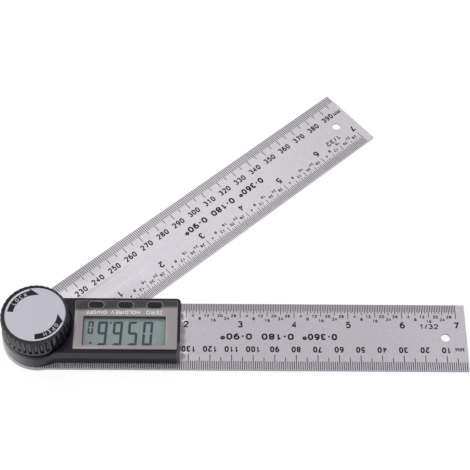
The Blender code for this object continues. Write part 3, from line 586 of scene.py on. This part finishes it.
def lens_material():
    """Clear plastic that shows its gloss only where it is seen at a low angle."""
    made = finish("clear_lens", (0.70, 0.73, 0.73), 0.25, grain=300, spread=0.02, rough_spread=0.02,
                  bump=0.0, alpha=0.0, specular=0.3)
    facing = add_node(made, "LayerWeight", {"Blend": 0.5}).outputs["Facing"]
    inputs = {"Value": facing, "From Min": GLOSS_FROM, "From Max": 1.0, "To Max": MOST_GLOSS}
    share = add_node(made, "MapRange", inputs).outputs["Result"]
    feed(made.node_tree.nodes["Principled BSDF"], {"Alpha": share})
    return made


lens_clear = lens_material()

PAINTED_SHADE_X = (18, 64)
REFLECTION_BAND_TILT = -0.038
REFLECTION_BAND_EDGE = (5.8, 7.8)


def panel_material():
    """Glossy taupe face plate, with painted light: painted shade darkens it from left to right, and a
    darker band along the buttons, with a soft lower edge, is a painted reflection.
    """
    made = finish("glossy_taupe_panel", (0.345, 0.315, 0.312), 0.22, metal=0.30, grain=2600, spread=0.03,
                  rough_spread=0.03, bump=0.03)
    axes = own_axes(made)
    shade = mix(made, fade(made, axes["X"], *PAINTED_SHADE_X), (0.98, 0.97, 1.01, 1), (0.93, 0.92, 0.96, 1))
    tone = mix(made, 1, base_colour(made).links[0].from_socket, shade, "MULTIPLY")
    tilted = calculate(made, "MULTIPLY_ADD", axes["X"], REFLECTION_BAND_TILT, axes["Y"])
    with_painted_reflection = mix(made, fade(made, tilted, *REFLECTION_BAND_EDGE), tone, (0.040, 0.037, 0.040, 1))
    made.node_tree.links.new(with_painted_reflection, base_colour(made))
    return made


panel_gloss = panel_material()

node_finish = {
    "scale_steel": base_steel_shaded, "fastener_steel": fastener_steel, "spring_steel": spring_steel,
    "brass": brass, "black_plastic": black_plastic, "button_plastic": button_plastic,
    "panel_gloss": panel_gloss, "label_silver": silver, "lcd_glass": lcd_back, "lens_clear": lens_clear,
    "board_green": board_green, "connector_rubber": connector_rubber, "ribbon_amber": ribbon_amber,
}
for part in frame["record"]["subparts"]:
    node = frame["nodes"][part["node"]]
    steel_below = part["node"] == "swing_arm"
    node.data.materials.clear()
    node.data.materials.append(swing_steel_lit if steel_below else node_finish[part["material_slot"]])


# Arms
END_SHIFT = 0.6
ARM_BEVEL = 0.12


def arm_outline():
    """Square at the far end, round about the pivot."""
    far, side = ARM_LENGTH - ARM_CORNER, ARM_HALF - ARM_CORNER
    return (arc(far, side, ARM_CORNER, 0, 90, 4) + arc(END_SHIFT, 0, ARM_HALF, 90, 270, 96)
            + arc(far, -side, ARM_CORNER, 270, 360, 4))


def arm_plate(name, holes, heights, steel, cut_steel_shaded):
    """One steel arm. Its sheared edges and the walls of its holes have a rough finish of their own, and are
    painted darker than its faces as painted shade.
    """
    made = slab(name, [arm_outline()] + holes, *heights, steel, bevel=ARM_BEVEL)
    paint_faces(made, cut_steel_shaded, lambda face: abs(face.normal.z) < 0.5)
    return made


hang_hole = circle(HANG_X, 0, HANG_RADIUS, 48)
bore = circle(0, 0, BORE_RADIUS, 64)
base_holes = [hang_hole, circle(CELL_X, 0, CELL_HOLE_RADIUS, 128), bore]
base_holes += [circle(x, y, SCREW_HOLE_RADIUS, 40) for x in SCREW_X for y in SCREW_Y]
base_arm = arm_plate("base_arm_plate", base_holes, BASE_Z, base_steel_shaded, cut_base_shaded)
swing_arm = arm_plate("swing_arm_plate", [hang_hole, bore], SWING_Z, swing_steel_lit, cut_swing_shaded)
swing_arm.data.transform(Matrix.Rotation(math.radians(SWING_DEG), 4, "Z"))

# Scales of the arms. The ends of ticks and the places of texts count from the arm's middle line
MARK_SINK = 0.03
MARK_RISE = 0.015
TICK_EDGE = ARM_HALF - 0.2
MM_AT_PIVOT = 200
MM_ENDS = {10: 9.6, 5: 11.0, 1: 13.0}
MM_NUMBERED = (25, 191)
INCH = 25.4
INCH_PARTS = 32
INCH_ZERO_X = 17.79
INCHES = 7
INCH_ENDS = {32: 9.8, 16: 10.6, 8: 11.75, 4: 12.45, 2: 12.8, 1: 13.65}
PART_PLACES = {16: 8.55, 8: 9.45, 4: 10.95}
DIGIT_WIDTH = 1.24

# Texts on the arms: place, width if it is fitted, height and, but for the first, weight of stroke
MM_NUMBER = (6.75, None, 3.15)
INCH_NUMBER = (6.4, 2.45, 3.5, 0.205)
MM_WORD = (6.3, 4.2, 2.2, 0.25)
MM_WORD_X = 196.2
PART_WORD = (5.8, 9.0, 2.7, 0.19)
PART_WORD_X = 182.6
PART_HEIGHT = 1.62
PART_WEIGHT = 0.23
CENTRE_PLACE = -0.1
CENTRE_HEIGHT = 3.4
CENTRE_WEIGHT = 0.24

# What differs between the arms: width of a millimetre tick, width of an inch tick, weight of the numbers
BASE_LINES = (0.35, 0.315, 0.215)
SWING_LINES = (0.31, 0.285, 0.20)
BASE_TEXTS = (("0-360°", 131.2, 16.2), ("0-180", 111.5, 15.0), ("0-90°", 92.1, 14.8))
SWING_TEXTS = (("0-360°", 131.2, 15.6), ("0-180", 113.0, 14.2), ("0-90°", 95.3, 14.0))


def arm_marks(top, mm_side, mm_step, lines, centre_texts):
    """Millimetre scale along one edge, inch scale along the other and plain numbers along the middle."""
    mm_tick, inch_tick, mm_weight = lines
    heights = (top - MARK_SINK, top + MARK_RISE)
    shape = bmesh.new()

    def tick(x, side, inner, thick):
        y0, y1 = sorted((side * inner, side * TICK_EDGE))
        add_bar(shape, x - thick / 2, y0, x + thick / 2, y1, *heights)

    def write(text, x, side, place, width, height, weight):
        """Writes a text with its foot towards the arm's middle line."""
        add_text(shape, text, x, side * place, width, height, 0 if side > 0 else 180, *heights, weight)

    for x in range(int(ARM_LENGTH)):
        value = MM_AT_PIVOT + mm_step * x
        kind = max(k for k in MM_ENDS if value % k == 0)
        tick(x, mm_side, MM_ENDS[kind], mm_tick)
        if kind == 10 and MM_NUMBERED[0] <= x <= MM_NUMBERED[1]:
            write(str(value), x, mm_side, *MM_NUMBER, mm_weight)
    for mark in range(INCHES * INCH_PARTS + 1):
        x = INCH_ZERO_X + mark * INCH / INCH_PARTS
        kind = max(k for k in INCH_ENDS if mark % k == 0)
        tick(x, -mm_side, INCH_ENDS[kind], inch_tick)
        if kind in PART_PLACES:
            text = str(mark % INCH_PARTS)
            width = DIGIT_WIDTH * len(text)
            write(text, x, -mm_side, PART_PLACES[kind], width, PART_HEIGHT, PART_WEIGHT)
        if kind == INCH_PARTS and mark:
            write(str(mark // INCH_PARTS), x, -mm_side, *INCH_NUMBER)
    write("MM", MM_WORD_X, mm_side, *MM_WORD)
    write("1/32", PART_WORD_X, -mm_side, *PART_WORD)
    for text, x, width in centre_texts:
        add_text(shape, text, x, CENTRE_PLACE, width, CENTRE_HEIGHT, 180, *heights, CENTRE_WEIGHT)
    return shape


shape = arm_marks(BASE_Z[1], -1, -1, BASE_LINES, BASE_TEXTS)
base_marks = marks_object("base_scale_marks", shape, etched)
shape = arm_marks(SWING_Z[1], 1, 1, SWING_LINES, SWING_TEXTS)
swing_marks = marks_object("swing_scale_marks", shape, etched, SWING_DEG)

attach(base_arm, "base")
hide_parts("base_arm")
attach(swing_arm, "swing")
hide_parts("swing_arm")
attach(base_marks, "base")
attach(swing_marks, "swing")

# Housing. An edge is its draft, its width and its height
BODY_CORNER = 2.2
LEAST_CORNER = 0.3
BLEND_RADIUS = 12.0
SLOPE_X = 5.6
SLOPE_LENGTH = 5.0
BOSS_EDGE = (0.35, 0.70, 1.30)
BODY_EDGE = (0.08, 0.40, 0.40)
EDGE_STEPS = 6

# Cuts in the housing. CUT_FOOT lies below it and CUT_TOP above it. A pair of the pocket's lip says how much
# wider than the pocket it is and how high, counted from the housing's top
CUT_FOOT = 1.0
CUT_TOP = 15.0
POCKET_FLOOR = BOSS_TOP - 0.03
POCKET_LIP = ((0.35, 0.01), (0.10, -0.25), (0.0, -0.6))
BOSS_HOLLOW_RADIUS = 15.3
BOSS_HOLLOW_TOP = 9.2
PASSAGE = (2.0, -12.4, 18.6, 12.4)
PASSAGE_TOP = 9.1
HOLLOW = (17.7, -13.1, 65.0, 13.1)
HOLLOW_TOP = 11.9
SEAT_MARGIN = 0.9
SEAT_CORNER = 0.4
SEAT_FLOOR = 12.25
WINDOW_CUT_CORNER = 0.3
WINDOW_CUT = (WINDOW[0] + 0.2, WINDOW[1] - 0.6, WINDOW[2] + 0.6, WINDOW[3] - 0.35)
WINDOW_CUT_FLOOR = 11.0
BUTTON_GAP = 0.4
BOLT_HOLE_RADIUS = 4.0
HOUSING_SMOOTH = 30


def housing_outline(inset):
    """Half of the casing seen from above, from its far end, along one side and round the boss."""
    half = BODY_HALF - inset
    end = BODY_END - inset
    radius = max(LEAST_CORNER, BODY_CORNER - inset)
    centre_y = BODY_HALF + BLEND_RADIUS
    centre_x = math.sqrt((BOSS_RADIUS + BLEND_RADIUS) ** 2 - centre_y ** 2)
    turn = math.degrees(math.atan2(centre_y, centre_x))
    return (arc(end - radius, half - radius, radius, 0, 90, 10)
            + arc(centre_x, centre_y, BLEND_RADIUS + inset, 270, 180 + turn, 18)
            + arc(0, 0, BOSS_RADIUS - inset, turn, 180, 60)[1:-1])


def button_pill(x, gap, steps):
    """Outline of a button's place, with a gap all round."""
    return pill(x, BUTTON_Y, BUTTON_SIZE[0] + gap, BUTTON_SIZE[1] + gap, steps)


def drum(radius, low, high):
    """Profile of a plain cylinder."""
    return [(0, high), (radius, high), (radius, low), (0, low)]


def housing_cutters():
    """The knob's pocket, the hollows inside, the lens's seat and the holes for window, buttons and bolt."""
    lip = [(POCKET_RADIUS + wider, BODY_Z[1] + rise) for wider, rise in POCKET_LIP]
    bottom = [(POCKET_RADIUS, POCKET_FLOOR), (0, POCKET_FLOOR)]
    cutters = [
        lathe("pocket", [(0, CUT_TOP), (lip[0][0], CUT_TOP)] + lip + bottom, None, 160),
        lathe("boss_hollow", drum(BOSS_HOLLOW_RADIUS, CUT_FOOT, BOSS_HOLLOW_TOP)),
        slab("passage", [square(*PASSAGE)], CUT_FOOT, PASSAGE_TOP),
        slab("hollow", [square(*HOLLOW)], CUT_FOOT, HOLLOW_TOP),
        slab("seat", [rounded(*grown(WINDOW, SEAT_MARGIN), SEAT_CORNER)], SEAT_FLOOR, CUT_TOP),
        slab("window", [rounded(*WINDOW_CUT, WINDOW_CUT_CORNER)], WINDOW_CUT_FLOOR, CUT_TOP),
    ]
    cutters += [slab("hole", [button_pill(x, BUTTON_GAP, 16)], WINDOW_CUT_FLOOR, CUT_TOP) for x in BUTTON_X]
    return cutters + [lathe("bolt_hole", drum(BOLT_HOLE_RADIUS, CUT_FOOT, CUT_TOP), None, 64)]


def is_window_wall(face):
    x, y, z = face.center / MM
    x0, y0, x1, y1 = grown(WINDOW, 1.0)
    return x0 < x < x1 and y0 < y < y1 and HOLLOW_TOP + 0.05 < z < BODY_Z[1] - 0.05


def housing():
    """The casing: a low round boss that rises in a soft slope to a body with slightly round upper edges."""
    plan = housing_outline(0)

    def edge_point(i, up):
        """One point of the wall: up is 0 at the foot and then counts the steps over the round edge."""
        if up == 0:
            return (*plan[i], BODY_Z[0])
        t = min(1, max(0, (plan[i][0] - SLOPE_X) / SLOPE_LENGTH))
        share = t * t * (3 - 2 * t)
        top = BOSS_TOP + (BODY_Z[1] - BOSS_TOP) * share
        draft, wide, tall = [a + (b - a) * share for a, b in zip(BOSS_EDGE, BODY_EDGE)]
        a = math.pi / 2 * (up - 1) / EDGE_STEPS
        x, y = housing_outline(draft + wide * (1 - math.cos(a)))[i]
        return (x, y, top - tall + tall * math.sin(a))

    shape = bmesh.new()
    rings = []
    for up in range(EDGE_STEPS + 2):
        side = [edge_point(i, up) for i in range(len(plan))]
        other = [(x, -y, z) for x, y, z in side[::-1]]
        rings.append([vert(shape, *point) for point in side + other])
    bridge(shape, rings)
    for ring in (rings[0], rings[-1]):
        count = len(ring)
        for i in range(count // 2 - 1):
            shape.faces.new((ring[i], ring[i + 1], ring[count - 2 - i], ring[count - 1 - i]))
    body = solid("housing_body", shape, black_plastic)
    carve(body, housing_cutters())
    dress(body, [black_plastic], HOUSING_SMOOTH)
    paint_faces(body, window_wall, is_window_wall)
    return body


housing_body = housing()
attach(housing_body, "base")
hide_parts("housing_shell")

# Panel and captions
PANEL_CORNER = 0.7
PANEL_BEVEL = 0.10
WINDOW_CORNER = 0.4
EDGE_WIDTH = 0.24
EDGE_CORNER = 0.5
RIM_BEVEL = 0.08
EDGE_Z = (PANEL_Z[0] + 0.1, PANEL_Z[1] + 0.02)
CAPTION_Z = (PANEL_Z[1] - 0.02, PANEL_Z[1] + 0.012)
CAPTION_Y = 6.45
CAPTION_HEIGHT = 2.05
CAPTION_WEIGHT = 0.19
CAPTIONS = (("ON/OFF", 22.4, 32.2), ("HOLD/REV", 34.0, 47.5), ("ZERO", 50.3, 58.0))
button_holes = [button_pill(x, BUTTON_GAP, 20) for x in BUTTON_X]
panel_outline = rounded(*PANEL, PANEL_CORNER)
panel = slab("face_panel", [panel_outline, rounded(*WINDOW, WINDOW_CORNER)] + button_holes, *PANEL_Z,
             panel_gloss, bevel=PANEL_BEVEL)
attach(panel, "base")
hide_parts("display_panel")

# Painted highlight: a thin bright rim along the panel's edge stands in for the light that the edge catches
edge_outlines = [panel_outline, rounded(*grown(PANEL, -EDGE_WIDTH), EDGE_CORNER)]
panel_rim_highlight = slab("panel_rim_painted_highlight", edge_outlines, *EDGE_Z, chrome_and_highlight, bevel=RIM_BEVEL)
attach(panel_rim_highlight, "base")

shape = bmesh.new()
for text, x0, x1 in CAPTIONS:
    middle = (x0 + x1) / 2
    add_text(shape, text, middle, CAPTION_Y, x1 - x0, CAPTION_HEIGHT, 180, *CAPTION_Z, CAPTION_WEIGHT)
captions = marks_object("panel_captions", shape, caption_print)
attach(captions, "base")

# Buttons. A profile is heights and how far the wall lies inside the cap's outline there
SHOULDER = 13.62
CAP_FOOT = [(11.2, -0.45), (11.8, -0.45), (11.8, 0.0), (SHOULDER - 0.17, 0.0), (SHOULDER, 0.0)]
CAP_TOP = (13.80, 0.75)
ROUND_HEIGHT = 0.16
ROUND_WIDTH = 0.34
STEM = drum(1.0, 9.5, 11.5)
RIM_GAP = 0.22
RIM_OUTSIDE = 0.80
RIM_Z = (PANEL_Z[1] - 0.05, PANEL_Z[1] + 0.12)


def button(name, x):
    """A button: a domed pill over a flange and a stem, with a bright ring pressed round it."""
    length, width = BUTTON_CAP
    bend = [math.radians(a) for a in (25, 50, 75, 90)]
    arch = [(SHOULDER + ROUND_HEIGHT * math.sin(a), ROUND_WIDTH * (1 - math.cos(a))) for a in bend]
    shape = bmesh.new()
    rings = []
    for height, inset in CAP_FOOT + arch + [CAP_TOP]:
        outline = pill(x, BUTTON_Y, length - 2 * inset, width - 2 * inset, 18)
        rings.append([vert(shape, px, py, height) for px, py in outline])
    skin(shape, rings)
    cap = solid(name + "_cap", shape, button_plastic)
    carve(cap, [lathe("stem", STEM, None, 32, (x, BUTTON_Y))], "UNION")
    dress(cap, [button_plastic], SMOOTH_DEG)
    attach(cap, name)
    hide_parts(name)
    outer = button_pill(x, RIM_OUTSIDE, 20)
    inner = pill(x, BUTTON_Y, length + RIM_GAP, width + RIM_GAP, 20)
    ring = slab(name + "_rim", [outer, inner], *RIM_Z, chrome_and_highlight, bevel=RIM_BEVEL)
    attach(ring, "base")


for name, x in zip(("button_power", "button_hold", "button_zero"), BUTTON_X):
    button(name, x)

# Display
LCD_MARGIN = 1.0
LCD_CORNER = 0.3
LENS_MARGIN = 0.7
LENS_CORNER = 0.4
GLASS_BEVEL = 0.05
lcd_outline = rounded(*grown(WINDOW, LCD_MARGIN), LCD_CORNER)
lcd = slab("display_glass", [lcd_outline], *LCD_Z, lcd_back, bevel=GLASS_BEVEL)
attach(lcd, "base")
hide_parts("lcd_panel")

lens_outline = rounded(*grown(WINDOW, LENS_MARGIN), LENS_CORNER)
lens = slab("clear_window_plate", [lens_outline], *LENS_Z, lens_clear, bevel=GLASS_BEVEL)
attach(lens, "base")
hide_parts("window_lens")

# Reading of the display. A digit's size is its width, height and stroke, and shares are parts of a stroke
SEGMENTS = {"0": "abcdef", "5": "acdfg", "6": "acdefg"}
SEGMENT_GAP = 0.04
INSET_SHARE = 0.09
POINT_SHARE = 0.55
TIP_SHARE = 0.1
DIGIT_SLANT = 0.045
DIGIT_Y = -3.75
DIGIT_SIZE = (4.55, 12.5, 1.2)
DIGITS = (("0", 51.25), ("5", 44.4), ("6", 37.35), ("6", 30.35))
SMALL_PLACE = (24.95, -0.75)
SMALL_SIZE = (2.5, 6.7, 0.8)
DOTS = ((34.15, 1.85, 0.5, 20), (25.1, -8.75, 0.62, 24))
INK_Z = (LCD_Z[1] - 0.02, LCD_Z[1] + 0.02)


def add_digit(shape, digit, cx, cy, width, height, stroke):
    """Adds a seven segment digit, read upside down, so its top lies towards -y."""
    side_x, end_y = width / 2, height / 2
    inset = SEGMENT_GAP + INSET_SHARE * stroke
    x0, x1 = inset - side_x, side_x - inset

    def put(points):
        add_plate(shape, [(cx - px - DIGIT_SLANT * py, cy - py) for px, py in points], *INK_Z)

    def end_bar(side):
        """The bar at the top or the foot, with mitred ends."""
        y0, y1 = side * (end_y - stroke), side * end_y
        put([(x0 + stroke, y0), (x1 - stroke, y0), (x1, y1), (x0, y1)])

    def middle_bar():
        """The bar across the middle, with pointed ends."""
        near, tip, y = POINT_SHARE * stroke, TIP_SHARE * stroke, stroke / 2
        put([(x0 + near, -y), (x1 - near, -y), (x1 - tip, 0),
             (x1 - near, y), (x0 + near, y), (x0 + tip, 0)])

    def post(side, y0, y1):
        """An upright bar, mitred by its whole stroke at the digit's end and by half of it at the middle."""
        top = stroke if y1 > 0 else stroke / 2
        foot = stroke if y0 < 0 else stroke / 2
        outer, inner = side * side_x, side * (side_x - stroke)
        put([(outer, y0 + SEGMENT_GAP), (outer, y1 - SEGMENT_GAP), (inner, y1 - top), (inner, y0 + foot)])

    posts = {"f": (-1, 0, end_y), "b": (1, 0, end_y), "e": (-1, -end_y, 0), "c": (1, -end_y, 0)}
    for segment in SEGMENTS[digit]:
        if segment == "g":
            middle_bar()
        elif segment in posts:
            post(*posts[segment])
        else:
            end_bar(1 if segment == "a" else -1)


shape = bmesh.new()
for digit, x in DIGITS:
    add_digit(shape, digit, x, DIGIT_Y, *DIGIT_SIZE)
add_digit(shape, "0", *SMALL_PLACE, *SMALL_SIZE)
for dot in DOTS:
    add_plate(shape, circle(*dot), *INK_Z)
digits = marks_object("display_digits", shape, lcd_ink)
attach(digits, "base")

# Knob
LOBE_RADIUS = 15.6
RIM_RADIUS = 15.35
RECESS_RADIUS = 14.3
LEDGE = KNOB_LOW + 2.2
HOLLOW_RADIUS = 9.5
HOLLOW_HEIGHT = 0.6
INSERT_RADIUS = 5.2
INSERT_HEIGHT = 7.3
FLUTES = 36
FLUTE_POINTS = 12
FLUTE_HALF = 0.72
FLUTE_DEPTH = 0.75
FLUTE_ROUND = 0.4
KNOB_SMOOTH = 32


def knob():
    """The clamp knob: a skirt with flutes over a plain flange, a rounded rim and the label's recess."""
    count = FLUTES * FLUTE_POINTS
    shape = bmesh.new()

    def ring(radius, height, cut):
        """A ring of points. The flutes are cut into it by a share of their depth."""
        row = []
        for i in range(count):
            beside = abs((i % FLUTE_POINTS) / FLUTE_POINTS - 0.5) * 2 * math.pi * KNOB_RADIUS / FLUTES
            depth = FLUTE_DEPTH * max(0.0, 1 - (beside / FLUTE_HALF) ** 2) ** FLUTE_ROUND
            x, y = polar(radius - cut * depth, 360 * i / count)
            row.append(vert(shape, x, y, height))
        return row

    foot, top = KNOB_LOW, KNOB_TOP
    levels = [
        (INSERT_RADIUS, foot + INSERT_HEIGHT, 0), (INSERT_RADIUS, foot + HOLLOW_HEIGHT, 0),
        (HOLLOW_RADIUS, foot + HOLLOW_HEIGHT, 0), (HOLLOW_RADIUS, foot, 0),
        (KNOB_RADIUS - 0.30, foot, 0), (KNOB_RADIUS - 0.05, foot + 0.12, 0), (KNOB_RADIUS, foot + 0.32, 0),
        (KNOB_RADIUS, LEDGE - 0.12, 0), (KNOB_RADIUS - 0.03, LEDGE - 0.02, 0),
        (LOBE_RADIUS + 0.10, LEDGE, 1), (LOBE_RADIUS + 0.05, top - 1.20, 1),
        (LOBE_RADIUS - 0.06, top - 0.95, 0.65), (RIM_RADIUS + 0.06, top - 0.80, 0.25),
        (RIM_RADIUS, top - 0.30, 0.22), (RIM_RADIUS - 0.08, top - 0.12, 0.20),
        (RIM_RADIUS - 0.20, top - 0.03, 0.14), (RIM_RADIUS - 0.35, top, 0),
        (RECESS_RADIUS + 0.10, top, 0), (RECESS_RADIUS, top - 0.06, 0),
        (RECESS_RADIUS - 0.05, top - 0.50, 0),
    ]
    skin(shape, [ring(*level) for level in levels])
    return solid("clamp_knob", shape, knob_plastic, KNOB_SMOOTH)


clamp_knob = knob()
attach(clamp_knob, "knob")
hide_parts("lock_knob")

# The knob's label, which lies a little off its centre, as the print on it does
LABEL_SHIFT = 0.42
PRINT_SHIFT = 0.30
LABEL_PROFILE = [
    (0, LABEL_Z[1]), (LABEL_RADIUS - 0.1, LABEL_Z[1]), (LABEL_RADIUS, LABEL_Z[1] - 0.08),
    (LABEL_RADIUS, LABEL_Z[0]), (0, LABEL_Z[0]),
]
label = lathe("knob_disc", LABEL_PROFILE, silver, 192, (LABEL_SHIFT, 0))
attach(label, "knob")
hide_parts("knob_label")

# Print on the label. An arrow is its radii, its tail and neck, and the corners of its head
PRINT_Z = (LABEL_Z[1] - 0.02, LABEL_Z[1] + 0.012)
LETTER_Z = (LABEL_Z[1] + 0.004, LABEL_Z[1] + 0.022)
HIGHLIGHT_Z = (LABEL_Z[1] - 0.02, LABEL_Z[1] + 0.008)
ARROWS = (((10.05, 12.75), (174.5, 105.6), ((13.7, 103.4), (10.35, 83), (10.05, 94))),
          ((10.3, 13.15), (-86.5, -19.5), ((13.75, -17), (10.4, 2.0), (10.25, -8))))
HEAD_OVERLAP = 0.05
WORDS = (("LOCK", 11.28, (151.6, 140.3, 128.2, 116.1)), ("OPEN", 11.6, (-29.5, -40.5, -51.5, -62.5)))
WORD_HEIGHT = 1.95
WORD_WEIGHT = 0.155
# Painted highlights: bright silver bands along the label's rim and at the arrows' tails stand in for light
# that the label's edge catches
OUTER_HIGHLIGHTS = ((12.65, 13.35, 170, 105), (13.1, 13.75, -90, -19))
TAIL_HIGHLIGHTS = ((10.05, 12.75, 176.0, 174.6), (10.3, 13.15, -88.2, -86.6))


def label_object(name, shape, material):
    """Stores marks of the label and moves them to where they are printed."""
    bmesh.ops.translate(shape, verts=shape.verts, vec=(PRINT_SHIFT * MM, 0, 0))
    made = marks_object(name, shape, material)
    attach(made, "knob")


arrows = bmesh.new()
for (inner, outer), (tail, neck), head in ARROWS:
    add_ring_part(arrows, inner, outer, tail, neck, *PRINT_Z)
    seam = neck + math.copysign(HEAD_OVERLAP, tail - neck)
    corners = (*head, (inner, seam), (outer - HEAD_OVERLAP, seam))
    add_plate(arrows, [polar(*corner) for corner in corners], *PRINT_Z)
label_object("knob_arrows", arrows, arrow_black)

letters = bmesh.new()
for word, radius, angles in WORDS:
    for letter, angle in zip(word, angles):
        add_text(letters, letter, angle, 0, None, WORD_HEIGHT, 0, *LETTER_Z, WORD_WEIGHT, bend=radius)
label_object("knob_letters", letters, arrow_white)

highlight_bands = bmesh.new()
for band in OUTER_HIGHLIGHTS:
    add_ring_part(highlight_bands, *band, *HIGHLIGHT_Z)
for band in TAIL_HIGHLIGHTS:
    add_ring_part(highlight_bands, *band, *HIGHLIGHT_Z, 2)
label_object("knob_painted_highlights", highlight_bands, painted_highlight_silver)

# Stage
FLOOR_HALF = 6000
FLOOR_DROP = 0.2
FLOOR_GLOW = 0.83
SKY_STRENGTH = 0.86
KEY_PLACE = Vector((-450, 250, 600))
KEY_TARGET = Vector((40, 0, 0))
KEY_SIZE = 600
KEY_WATTS = 1.1


def floor_material():
    """White paper. The camera, mirrors and glass see it as white, with the object's faint shadow."""
    made = bpy.data.materials.new("white_paper")
    made.use_nodes = True
    made.node_tree.nodes.clear()
    paper = add_node(made, "BsdfDiffuse", {"Color": (0.80, 0.80, 0.80, 1)})
    weak = add_node(made, "BsdfDiffuse", {"Color": (0.22, 0.22, 0.22, 1)})
    glow = add_node(made, "Emission", {"Strength": FLOOR_GLOW})
    seen = add_node(made, "AddShader", {0: weak.outputs[0], 1: glow.outputs[0]})
    rays = add_node(made, "LightPath").outputs
    direct = calculate(made, "MAXIMUM", rays["Is Camera Ray"], rays["Is Glossy Ray"])
    direct = calculate(made, "MAXIMUM", direct, rays["Is Transmission Ray"])
    pick = add_node(made, "MixShader", {0: direct, 1: paper.outputs[0], 2: seen.outputs[0]})
    add_node(made, "OutputMaterial", {"Surface": pick.outputs[0]})
    return made


shape = bmesh.new()
bmesh.ops.create_grid(shape, x_segments=2, y_segments=2, size=FLOOR_HALF * MM)
bmesh.ops.translate(shape, verts=shape.verts, vec=(0, 0, -FLOOR_DROP * MM))
floor_mesh = bpy.data.meshes.new("floor")
shape.to_mesh(floor_mesh)
shape.free()
floor_mesh.materials.append(floor_material())
floor = add_object("floor", floor_mesh)

world = bpy.data.worlds.new("studio")
scene.world = world
world.use_nodes = True
sky = world.node_tree.nodes["Background"]
sky.inputs["Color"].default_value = (1, 1, 1, 1)
sky.inputs["Strength"].default_value = SKY_STRENGTH

key = bpy.data.lights.new("key", "AREA")
key.shape = "SQUARE"
key.size = KEY_SIZE * MM
key.energy = KEY_WATTS
key_lamp = add_object("key", key)
key_lamp.location = KEY_PLACE * MM
key_lamp.rotation_euler = (KEY_TARGET - KEY_PLACE).to_track_quat("-Z", "Y").to_euler()

# Camera, fitted to the graduations that the photo shows
FOCAL_PX = 1413.016
FRAME_PX = 470
SENSOR = 36
CLIP = (10, 50000)
AZ, EL, ROLL = math.radians(-1.0409), math.radians(57.3016), math.radians(1.2747)
TARGET = Vector((91.539, 56.202, 2.9))
DISTANCE = 690.243
back = Vector((math.sin(AZ) * math.cos(EL), -math.cos(AZ) * math.cos(EL), math.sin(EL)))
right = Vector((math.cos(AZ), math.sin(AZ), 0))
up = back.cross(right)
rolled_right = math.cos(ROLL) * right + math.sin(ROLL) * up
rolled_up = -math.sin(ROLL) * right + math.cos(ROLL) * up
camera_data = bpy.data.cameras.new("camera")
camera_data.sensor_width = SENSOR
camera_data.lens = FOCAL_PX / FRAME_PX * SENSOR
camera_data.clip_start, camera_data.clip_end = [reach * MM for reach in CLIP]
camera = add_object("camera", camera_data)
pose = Matrix((rolled_right, rolled_up, back)).transposed().to_4x4()
pose.translation = (TARGET + back * DISTANCE) * MM
camera.matrix_world = pose
scene.camera = camera
scene.view_settings.view_transform = "Standard"
